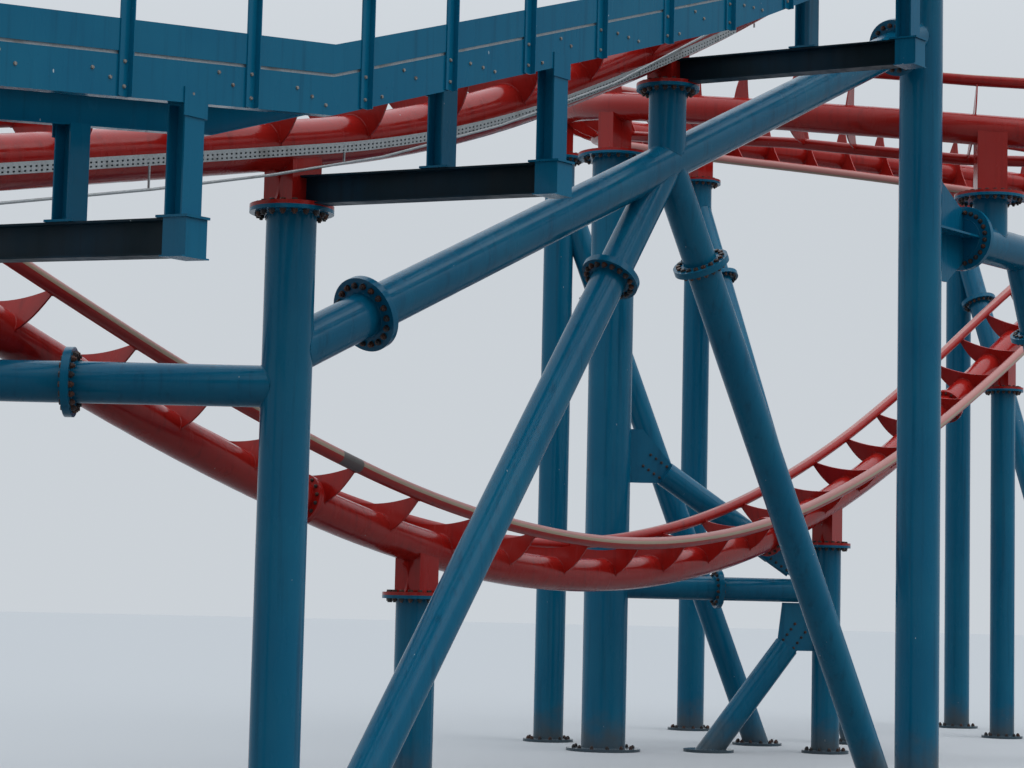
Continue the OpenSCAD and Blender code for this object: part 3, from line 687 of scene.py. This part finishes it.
def bolt_circle(pipe_d, ratio=FLANGE_RATIO):
    """Radius of a bolt circle midway between a pipe and the rim of its flange."""
    return pipe_d * (1 + ratio) / 4


def pipe_joint(bolts, welds, centre, axis, d, count=PIPE_RING, size=M36):
    """Bolts and weld beads of a pair of flanges on a pipe."""
    bolt_ring(bolts, centre, axis, bolt_circle(d), count, size, -FLANGE_T, FLANGE_T)
    axis = axis.normalized()
    for side in (-1, 1):
        ring_weld(welds, centre + side * FLANGE_T * axis, axis, d / 2)


def top_joint(bolts, welds, top, d, radius, count, heads=None):
    """Bolts through the flange on top of an upright pipe, and the bead under that flange."""
    bolt_ring(bolts, top, Z_AXIS, radius, count, M36, -FLANGE_T, FLANGE_T + GAP, heads)
    ring_weld(welds, top - FLANGE_T * Z_AXIS, Z_AXIS, d / 2)


def column_size(name):
    """Middle, top and diameter of a column, from its box."""
    low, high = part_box(name)
    return (low[0] + high[0]) / 2, (low[1] + high[1]) / 2, high[2], (high[0] - low[0]) / FLANGE_RATIO


def clear_of_beam(way):
    """False where the outrigger beam, which runs to the front, leaves a bolt's head no room."""
    return not (way.y < 0 and abs(way.x) < BEAM_SECTOR)


def foot_studs(shape, x, y, d):
    """Nuts on the anchor bolts of a foot plate."""
    bolt_ring(shape, Vector((x, y, FOOT_T)), -Z_AXIS, bolt_circle(d), ANCHOR_RING, M36, 0, None)


def column_trim(name, has_beam):
    x, y, top, d = column_size(name)
    bolts, welds = Shape(), Shape()
    count = WIDE_RING if d > WIDE_PIPE else PIPE_RING
    heads = clear_of_beam if has_beam else None
    top_joint(bolts, welds, Vector((x, y, top)), d, bolt_circle(d), count, heads)
    foot_studs(bolts, x, y, d)
    ring_weld(welds, Vector((x, y, FOOT_T)), Z_AXIS, d / 2)
    piece(name + "_bolts", bolts, "blue", "bolt")
    piece(name + "_welds", welds, "blue")


BEAM_COLUMNS = "ack"
OTHER_COLUMNS = "defghij"
for letter in BEAM_COLUMNS + OTHER_COLUMNS:
    column_trim("column_" + letter, has_beam=letter in BEAM_COLUMNS)

# Front frame, in the plane of the columns A and C
TIE_SLOPE = 25
TIE_DIR = Vector((cos(radians(TIE_SLOPE)), 0, sin(radians(TIE_SLOPE))))
TIE_TUBE_D = 0.48
TIE_Z = 4.75                # height of the tie tube's axis at column A
TIE_JOINTS = (1.12, 11.75)  # x of the tie tube's flanged joints
STUB_B_X = 6.35
STUB_B_TOP = 8.64
STUB_B_D = 0.46
COLUMN_A_D = 0.508
COLUMN_C_D = 0.61
COLUMN_C_X = 12.45
CROSS_HEADING = 130
CROSS_DIR = Vector((cos(radians(CROSS_HEADING)), sin(radians(CROSS_HEADING)), 0))
CROSS_TUBE_D = 0.42
CROSS_Z = 4.41
CROSS_JOINT = 2.16          # from column A's axis to the cross tube's joint
LEG_D = 0.42
LEG_FOOT = 1.2              # a raking leg's foot plate suits a pipe this much wider
NEAR_TOE = Vector((0.96, 0, 0))
FAR_TOE = Vector((11.4, 0, 0))
# Places of the joints in raking legs, as shares of their lengths
NEAR_JOINT = 0.8
FAR_JOINT = 0.85


def tie_axis(x):
    return Vector((x, 0, TIE_Z + x * tan(radians(TIE_SLOPE))))


VERTEX = tie_axis(STUB_B_X)


def raking_leg(bolts, welds, toe, head, d, share, on_point, on_axis, on_radius):
    """Bolts and beads of a raking leg, whose joint lies at a share of its length."""
    axis = head - toe
    pipe_joint(bolts, welds, toe + share * axis, axis, d)
    foot_studs(bolts, toe.x, toe.y, LEG_FOOT * d)
    floor_weld(welds, toe, axis, d / 2, FOOT_T)
    branch_weld(welds, toe, axis, d / 2, on_point, on_axis, on_radius)


def front_frame_trim():
    bolts, welds = Shape(), Shape()
    low_joint, high_joint = tie_axis(TIE_JOINTS[0]), tie_axis(TIE_JOINTS[1])
    pipe_joint(bolts, welds, low_joint, TIE_DIR, TIE_TUBE_D)
    pipe_joint(bolts, welds, high_joint, TIE_DIR, TIE_TUBE_D)
    cross_joint = CROSS_Z * Z_AXIS + CROSS_JOINT * CROSS_DIR
    pipe_joint(bolts, welds, cross_joint, CROSS_DIR, CROSS_TUBE_D)
    foot_c = COLUMN_C_X * X_AXIS
    branch_weld(welds, low_joint, -TIE_DIR, TIE_TUBE_D / 2, ORIGIN, Z_AXIS, COLUMN_A_D / 2)
    branch_weld(welds, high_joint, TIE_DIR, TIE_TUBE_D / 2, foot_c, Z_AXIS, COLUMN_C_D / 2)
    branch_weld(welds, cross_joint, -CROSS_DIR, CROSS_TUBE_D / 2, ORIGIN, Z_AXIS, COLUMN_A_D / 2)
    top = Vector((STUB_B_X, 0, STUB_B_TOP))
    branch_weld(welds, top, -Z_AXIS, STUB_B_D / 2, VERTEX, TIE_DIR, TIE_TUBE_D / 2)
    top_joint(bolts, welds, top, STUB_B_D, bolt_circle(STUB_B_D), PIPE_RING, clear_of_beam)
    for toe, share in ((NEAR_TOE, NEAR_JOINT), (FAR_TOE, FAR_JOINT)):
        raking_leg(bolts, welds, toe, VERTEX, LEG_D, share, VERTEX, TIE_DIR, TIE_TUBE_D / 2)
    near_radius = LEG_D / 2 - WELD_INSIDE
    branch_weld(welds, FAR_TOE, VERTEX - FAR_TOE, LEG_D / 2, NEAR_TOE, VERTEX - NEAR_TOE, near_radius)
    piece("front_frame_bolts", bolts, "blue", "bolt")
    piece("front_frame_welds", welds, "blue")


front_frame_trim()

# Right frame, in the same plane beyond column C
RIGHT_TUBE_D = 0.559
RIGHT_Z = 7.77
RIGHT_JOINT = Vector((13.7, 0, RIGHT_Z))
RIGHT_STUB = Vector((14.502, 0, 8.5))  # top of the stub under the turn
RIGHT_STUB_D = 0.508
RIGHT_STUB_RING_R = 0.44
RIGHT_LEG_D = 0.457
RIGHT_LEG_TOP = Vector((15.41, 0, RIGHT_Z))
RIGHT_LEG_TOE = Vector((19, 0, 0))
# Braces of the turn's columns, as [column, x and y of the toe, place of the joint as for a raking leg]
TURN_BRACES = [
    ["column_d", 17.331, 5.939, 0.80],
    ["column_f", 19.280, 5.192, 0.85],
    ["column_j", 24.804, 3.142, 0.85],
]
BRACE_D = 0.42
BRACE_DROP = 0.42                      # from a column's top down to where its brace's axis meets it
# Bracing bay between the columns E and H
BAY_Z = 2.63                           # height of the level tube
BAY_TUBE_D = 0.38
BAY_HIGH = 5.1                         # where the upper brace's axis meets column E
BAY_FOOT = 1.75                        # from column E to the foot of the lower brace
BAY_PLATE_T = 0.025
BAY_BOLTS = [0.76, 0.87, 0.98, 1.09]   # distances of a gusset's bolts from the column's axis
BAY_ROW = 0.11                         # from the brace's axis to either row


def right_frame_trim(bolts, welds):
    tube_r = RIGHT_TUBE_D / 2
    pipe_joint(bolts, welds, RIGHT_JOINT, X_AXIS, RIGHT_TUBE_D, RIGHT_RING)
    top_joint(bolts, welds, RIGHT_STUB, RIGHT_STUB_D, RIGHT_STUB_RING_R, RIGHT_RING)
    branch_weld(welds, RIGHT_STUB, -Z_AXIS, RIGHT_STUB_D / 2, RIGHT_JOINT, X_AXIS, tube_r)
    raking_leg(bolts, welds, RIGHT_LEG_TOE, RIGHT_LEG_TOP, RIGHT_LEG_D, FAR_JOINT,
               RIGHT_JOINT, X_AXIS, tube_r)


def brace_trim(bolts, welds):
    for name, toe_x, toe_y, share in TURN_BRACES:
        x, y, top, d = column_size(name)
        head = Vector((x, y, top - BRACE_DROP))
        toe = Vector((toe_x, toe_y, 0))
        raking_leg(bolts, welds, toe, head, BRACE_D, share, Vector((x, y, 0)), Z_AXIS, d / 2)


def bay_trim(bolts, welds):
    ex, ey, _, e_d = column_size("column_e")
    hx, hy, _, h_d = column_size("column_h")
    along = Vector((hx - ex, hy - ey, 0))
    middle = Vector(((ex + hx) / 2, (ey + hy) / 2, BAY_Z))
    pipe_joint(bolts, welds, middle, along, BAY_TUBE_D, BAY_RING, M30)
    branch_weld(welds, middle, -along, BAY_TUBE_D / 2, Vector((ex, ey, 0)), Z_AXIS, e_d / 2)
    branch_weld(welds, middle, along, BAY_TUBE_D / 2, Vector((hx, hy, 0)), Z_AXIS, h_d / 2)
    bay_bolts(bolts, Vector((ex, ey, BAY_HIGH)), Vector((hx, hy, BAY_Z)), along)


def bay_bolts(shape, top, node, along):
    """Two rows of bolts through each gusset plate and the tongue on it."""
    along = along.normalized()
    across = Z_AXIS.cross(along)
    toe = Vector((top.x, top.y, 0)) + BAY_FOOT * along
    for start, end in ((top, node), (node, top), (node, toe)):
        way = (end - start).normalized()
        up = way.cross(across).normalized()
        for d in BAY_BOLTS:
            for row in (-BAY_ROW, BAY_ROW):
                place = start + d * way + row * up
                bolt_end(shape, place + (BAY_PLATE_T + GAP) * across, across, M24, False)
                bolt_end(shape, place - (BAY_PLATE_T + GAP) * across, -across, M24, True)


def behind_trim():
    bolts, welds = Shape(), Shape()
    for trim in (right_frame_trim, brace_trim, bay_trim):
        trim(bolts, welds)
    piece("behind_bolts", bolts, "blue", "bolt")
    piece("behind_welds", welds, "blue")


def spine_joints():
    """Bolts of the joints in the dip's spine."""
    bolts = Shape()
    radius = bolt_circle(SPINE_D, JOINT_RATIO)
    for s in DIP_JOINTS[1:-1]:
        place, _, _, along = dip.at(s)
        bolt_ring(bolts, place, along, radius, SPINE_RING, M24, -FLANGE_T - GAP, FLANGE_T + GAP)
    piece("dip_joint_bolts", bolts, "red", "bolt")


behind_trim()
spine_joints()

# Walkway, whose bends are [x, height of the stringers' lower edge]
WALK_BENDS = [(-6.6, 5.82), (-2.95, 6.235), (2.7, 8.12), (6.35, 9.68), (12.9, 13.22)]
CHANNEL_H = 0.32
CHANNEL_T = 0.012
WALK_OUTER = 3.45
WALK_INNER = 1.9
DECK_Z = CHANNEL_H + GAP
DECK_T = 0.03
KICK_EDGES = (0.025, 0.27)    # heights of the kick plate's edges over the stringer
KICK_T = 0.008
POST_W = 0.095
POST_T = 0.010
POST_LEG = 0.05
POST_START = -2.6
POST_PITCH = (-1.29, 1.05)    # from the start to the left and to the right
POST_BOLTS = [0.075, 0.265]   # heights over the stringer's lower edge
POST_SPIN = 0.3
HAND_H = 1.1
HAND_LINES = [HAND_H, 0.68]   # heights of the hand tubes over the stringer
HAND_D = 0.048
HAND_OUT = HAND_D / 3         # from the posts' front to the hand tubes' axes
HAND_CUT = 0.008              # share of the last stretch by which the hand tubes end early
HAND_SIDES = 20


def along_line(bends, x):
    """Height of a line of [x, z] bends at x."""
    for (x0, z0), (x1, z1) in zip(bends, bends[1:]):
        if x <= x1:
            return z0 + (x - x0) / (x1 - x0) * (z1 - z0)
    return bends[-1][1]


def walk_z(x):
    return along_line(WALK_BENDS, x)


def band(z0, z1):
    """Outline of a strip along the walkway, between two heights over the stringers' lower edge."""
    return [(x, z + z0) for x, z in WALK_BENDS] + [(x, z + z1) for x, z in reversed(WALK_BENDS)]


def post_places():
    low, high = WALK_BENDS[0][0], WALK_BENDS[-1][0]
    places = []
    x = POST_START
    while x >= low:
        places.append(x)
        x += POST_PITCH[0]
    x = POST_START + POST_PITCH[1]
    while x <= high:
        places.append(x)
        x += POST_PITCH[1]
    return places


def handrail():
    """Kick plate, posts of angle iron with their bolts, and hand tubes."""
    shape, bolts = Shape(), Shape()
    back = -WALK_OUTER - GAP
    shape.strip(band(CHANNEL_H + KICK_EDGES[0], CHANNEL_H + KICK_EDGES[1]), back - KICK_T, back)
    front = back - KICK_T - POST_T
    for x in post_places():
        z0 = walk_z(x)
        z1 = z0 + CHANNEL_H + HAND_H
        left, right = x - POST_W / 2, x + POST_W / 2
        inner = right - POST_T
        angle_iron = [(left, back), (left, front), (inner, front), (inner, front - POST_LEG),
                      (right, front - POST_LEG), (right, back)]
        shape.loft([[Vector((px, py, z)) for px, py in angle_iron] for z in (z0, z1)])
        for h in POST_BOLTS:
            behind = Vector((x, -WALK_OUTER + CHANNEL_T, z0 + h))
            bolt_end(bolts, Vector((x, front, z0 + h)), FRONT, M16, False, POST_SPIN)
            bolt_end(bolts, behind, -FRONT, M16, True, POST_SPIN)
    for h in HAND_LINES:
        path = [Vector((x, front - HAND_OUT, z + CHANNEL_H + h)) for x, z in WALK_BENDS]
        path[0].x += HAND_D
        path[-1] = path[-1].lerp(path[-2], HAND_CUT)
        shape.bead(path, HAND_D / 2, False, HAND_SIDES)
    piece("handrail_frame", shape, "blue", replaced=("handrail",))
    piece("post_bolts", bolts, "blue", "pale_bolt")


# Bolts of the brackets behind the outer channel, as [x, height over its lower edge]
WEB_BOLTS = [(-2.38, 0.07), (-2.12, 0.26), (-1.97, 0.17), (-1.27, 0.20), (-1.10, 0.14), (-0.94, 0.08)]
WEB_REPEAT = 2.1
WEB_COPIES = range(-2, 8)
WEB_END = 0.1       # from the channel's ends to the nearest bolt, at least
WEB_SPIN = 0.2


def web_bolts():
    bolts = Shape()
    posts = post_places()
    low, high = WALK_BENDS[0][0] + WEB_END, WALK_BENDS[-1][0] - WEB_END
    for copy in WEB_COPIES:
        for x, h in WEB_BOLTS:
            at = x + copy * WEB_REPEAT
            clear = all(abs(at - p) > POST_W for p in posts)
            if clear and low < at < high:
                bolt_end(bolts, Vector((at, -WALK_OUTER, walk_z(at) + h)), FRONT, M16, False, WEB_SPIN)
    piece("web_bolts", bolts, "blue", "pale_bolt")


GRATE_PITCH = 0.04
GRATE_BAR = 0.005
GRATE_DROP = 0.002  # from the top of the edge bars down to the other bars and the rods
ROD_PITCH = 0.1
ROD_T = 0.006


def grating():
    """Bearing bars across the walkway, rods along it and a flat bar on each edge."""
    shape = Shape()
    y0, y1 = -WALK_OUTER + CHANNEL_T, -WALK_INNER - CHANNEL_T
    for edge in (y0, y1 - GRATE_BAR):
        shape.strip(band(DECK_Z, DECK_Z + DECK_T), edge, edge + GRATE_BAR)
    bar_h = DECK_T - GRATE_DROP
    x = WALK_BENDS[0][0]
    while x < WALK_BENDS[-1][0] - GRATE_BAR:
        z = min(walk_z(x), walk_z(x + GRATE_BAR)) + DECK_Z
        shape.box((x, y0 + GRATE_BAR, z), (x + GRATE_BAR, y1 - GRATE_BAR, z + bar_h))
        x += GRATE_PITCH
    top = DECK_Z + bar_h
    y = y0 + ROD_PITCH
    while y < y1:
        shape.strip(band(top - ROD_T, top), y, y + ROD_T)
        y += ROD_PITCH
    piece("deck_grating", shape, "zinc", replaced=("walkway_deck",))


# Sleeves around the outer ends of the outrigger beams, below the outer struts
# Each beam is [x of its post, height of the post's top].
BEAMS = [[-4.45, 5.05], [0, 6.2], [STUB_B_X, STUB_B_TOP], [COLUMN_C_X, 11.8]]
BEAM_H = 0.29
BEAM_FALL = 3.5
SLEEVE_HALF = 0.108
SLEEVE_Y = (-3.515, -3.25)
SLEEVE_SKIN = 0.004
SLEEVE_FOOT = 0.012
SLEEVE_LIP = 0.03


def upright(x, half, y, z0, z1):
    """A rectangle square to the beam at y."""
    return [Vector((x + dx, y, z)) for dx, z in ((-half, z0), (half, z0), (half, z1), (-half, z1))]


def sleeves():
    shape = Shape()
    for x, top in BEAMS:
        middle = top + FLANGE_T + BEAM_H / 2 + 3 * GAP
        sleeve, foot = [], []
        for y in SLEEVE_Y:
            z = middle + y * tan(radians(BEAM_FALL))
            low = z - BEAM_H / 2 - SLEEVE_SKIN
            sleeve.append(upright(x, SLEEVE_HALF, y, low, z + BEAM_H / 2))
            foot.append(upright(x, SLEEVE_HALF + SLEEVE_LIP, y, low - SLEEVE_FOOT, low))
        shape.loft(sleeve)
        shape.loft(foot)
    piece("beam_sleeves", shape, "blue")


handrail()
web_bolts()
grating()
sleeves()

# Cable tray beside the climbing lane
TRAY_H = 0.105
TRAY_T = 0.004
TRAY_W = 0.06
TRAY_Y = -0.5
TRAY_LOW = -0.145    # from the spine's axis to the tray's lower edge
TRAY_END = 7.06      # x at which the tray stops
TRAY_SEARCH = 10     # step of the search for that place, in millimetres along the lane
SLOT_PITCH = 62
SLOT_LONG = 25
SLOT_ROWS = [(0.013, 0.029), (0.051, 0.068)]  # lower and upper edge of each row of slots
SHADE_STRIP_OFFSET = 0.012        # from the tray's plate to the dark strip behind it, which paints the shade and the cables inside the tray
SHADE_STRIP_H = 0.080
BRACKET_W = 0.06
BRACKET_T = 0.01
BRACKET_DROP = 0.09  # from the spine's axis down to a bracket
BRACKET_EVERY = 2    # tie pitches from one bracket to the next
HANGER_W = 0.012
CONDUIT_R = 0.014
CONDUIT_SIDES = 12
CONDUIT_Y = -0.52
# The conduit's axis as [x, z]
CONDUIT = [
    [-6.4, 5.12], [-4, 5.63], [-2.3, 6.01], [-0.8, 6.38],
    [0.75, 6.81], [2.6, 7.46], [4.6, 8.3], [7, 9.55],
]


def lane_point(s, y, up):
    place = climb.at(s)[0]
    return Vector((place.x, y, place.z + up))


def tray_strip(shape, end, y0, y1, z0, z1):
    """A bar of rectangular section beside the lane, from its start to a distance."""
    section = [(y0, z0), (y1, z0), (y1, z1), (y0, z1)]
    shape.loft([[lane_point(s, y, z) for y, z in section] for s in spread(0, end)])


def is_slot(i, j):
    """Whether a cell of the tray's plate is open: every second one along it, in both rows of slots."""
    return i % 2 == 1 and j % 2 == 1


def perforated(shape, marks, heights, y0, y1):
    """A plate between rows of points with open slots, and the walls inside each slot."""
    grid = {}

    def corner(i, j, y):
        key = (i, j, y)
        if key not in grid:
            grid[key] = len(shape.points)
            shape.points.append(lane_point(marks[i], y, TRAY_LOW + heights[j]))
        return grid[key]

    def solid(i, j):
        inside = 0 <= i < len(marks) - 1 and 0 <= j < len(heights) - 1
        return inside and not is_slot(i, j)

    for i in range(len(marks) - 1):
        for j in range(len(heights) - 1):
            if not solid(i, j):
                continue
            a, b, c, d = (i, j), (i + 1, j), (i + 1, j + 1), (i, j + 1)
            shape.faces.append(tuple(corner(*p, y0) for p in (a, b, c, d)))
            shape.faces.append(tuple(corner(*p, y1) for p in (d, c, b, a)))
            neighbours = [(i, j - 1), (i + 1, j), (i, j + 1), (i - 1, j)]
            for p, q, beyond in zip((a, b, c, d), (b, c, d, a), neighbours):
                if not solid(*beyond):
                    shape.faces.append((corner(*q, y0), corner(*p, y0), corner(*p, y1), corner(*q, y1)))


def cable_tray():
    """The tray on its brackets, the conduit on its hangers and a dark strip behind the slots, which is
    painted shade standing in for the shade and the cables inside the tray.
    """
    tray, conduit, shade_strip = Shape(), Shape(), Shape()
    end = next(s for s in range(0, CLIMB_LENGTH, TRAY_SEARCH) if climb.at(s)[0].x >= TRAY_END)
    marks = [0]
    while marks[-1] + SLOT_PITCH < end:
        marks += [marks[-1] + SLOT_PITCH - SLOT_LONG, marks[-1] + SLOT_PITCH]
    marks.append(end)
    heights = [TRAY_T, *SLOT_ROWS[0], *SLOT_ROWS[1], TRAY_H]
    perforated(tray, marks, heights, TRAY_Y - TRAY_T, TRAY_Y)
    tray_strip(tray, end, TRAY_Y - TRAY_T, TRAY_Y + TRAY_W, TRAY_LOW, TRAY_LOW + TRAY_T)
    near = -sqrt((LANE_SPINE_D / 2) ** 2 - BRACKET_DROP ** 2)
    for s in climb.stations(BRACKET_EVERY, 0, end):
        p = climb.at(s + climb.pitch / 2)[0]
        half = BRACKET_W / 2
        z = p.z - BRACKET_DROP
        tray.box((p.x - half, TRAY_Y, z), (p.x + half, near, z + BRACKET_T))
        half = HANGER_W / 2
        z = along_line(CONDUIT, p.x)
        tray.box((p.x - half, CONDUIT_Y, z), (p.x + half, TRAY_Y, p.z + TRAY_LOW + TRAY_T))
    piece("cable_tray_perforated", tray, "zinc", replaced=("cable_tray",))
    conduit.bead([Vector((x, CONDUIT_Y, z)) for x, z in CONDUIT], CONDUIT_R, False, CONDUIT_SIDES)
    piece("tray_conduit", conduit, "zinc")
    # A dark strip behind the slots: painted shade for the inside of the tray, with the cables in it
    behind = TRAY_Y + SHADE_STRIP_OFFSET
    tray_strip(shade_strip, end, behind, behind + TRAY_T, TRAY_LOW + TRAY_T, TRAY_LOW + SHADE_STRIP_H)
    piece("tray_shade_strip", shade_strip, "dark_blue")


cable_tray()

# Lights, floor and camera
SKY_RISE = (0.15, 0.95)  # heights of a direction between which the sky grows to its strength overhead
FLOOR_CENTRE = Vector((8, 2, 0))
FLOOR_SIDES = 96
SENSOR_W = 36.0
CLIP_END = 500.0


def sun(name, heading, height, width, strength):
    """A wide, soft lamp that stands in a heading from +X, at a height in degrees."""
    data = bpy.data.lights.new(name, "SUN")
    data.angle = radians(width)
    data.energy = strength
    lamp = bpy.data.objects.new(name, data)
    lamp.rotation_euler = (0.0, radians(90.0 - height), radians(heading))
    bpy.context.scene.collection.objects.link(lamp)


def seen_directly(tree):
    """1 for rays from the camera, or that left a mirror or glass."""
    path = tree.add("ShaderNodeLightPath")
    shown = tree.math("MAXIMUM", path.outputs["Is Camera Ray"], path.outputs["Is Glossy Ray"])
    return tree.math("MAXIMUM", shown, path.outputs["Is Transmission Ray"])


def world_light(colour, diffuse, seen, zenith):
    """A sky with a strength at the horizon, for diffuse and for seen light, and zenith times it overhead."""
    world = bpy.data.worlds.new("studio")
    bpy.context.scene.world = world
    world.use_nodes = True
    tree = Nodes(world.node_tree)
    background = world.node_tree.nodes["Background"]
    background.inputs["Color"].default_value = (*colour, 1.0)
    level = tree.ramp(seen_directly(tree), 0.0, 1.0, diffuse, seen)
    direction = tree.add("ShaderNodeTexCoord").outputs["Generated"]
    rise = tree.ramp(tree.height(direction), *SKY_RISE, 1.0, zenith)
    tree.link(tree.math("MULTIPLY", level, rise), background.inputs["Strength"])


def floor_disc(radius):
    mesh = bpy.data.meshes.new("floor")
    rim = circle(FLOOR_CENTRE, Z_AXIS, radius, FLOOR_SIDES)
    mesh.from_pydata(rim, [], [tuple(range(FLOOR_SIDES))])
    obj = bpy.data.objects.new("floor", mesh)
    bpy.context.scene.collection.objects.link(obj)
    material, tree, shader, _ = start_material("floor_paint", rough=0.9, specular=0.1)
    colour = tree.mix(seen_directly(tree), FLOOR_LIT, FLOOR_SEEN)
    tree.link(colour, shader.inputs["Base Color"])
    mesh.materials.append(material)


def camera(place, heading, pitch, roll, lens):
    data = bpy.data.cameras.new("camera")
    data.sensor_width = SENSOR_W
    data.lens = lens
    data.clip_end = CLIP_END
    obj = bpy.data.objects.new("camera", data)
    aim = Matrix.Rotation(radians(heading - 90.0), 4, "Z") @ Matrix.Rotation(radians(90.0 + pitch), 4, "X")
    obj.matrix_world = Matrix.Translation(place) @ aim @ Matrix.Rotation(radians(roll), 4, "Z")
    bpy.context.scene.collection.objects.link(obj)
    bpy.context.scene.camera = obj


world_light(SKY, diffuse=0.48, seen=0.68, zenith=2.4)
sun("key", heading=285.0, height=50.0, width=50.0, strength=0.7)
floor_disc(radius=260.0)
camera(place=(-16.32, -16.64, 2.3), heading=40.0, pitch=5.4, roll=1.33, lens=81.9)
bpy.context.scene.view_settings.view_transform = "Standard"
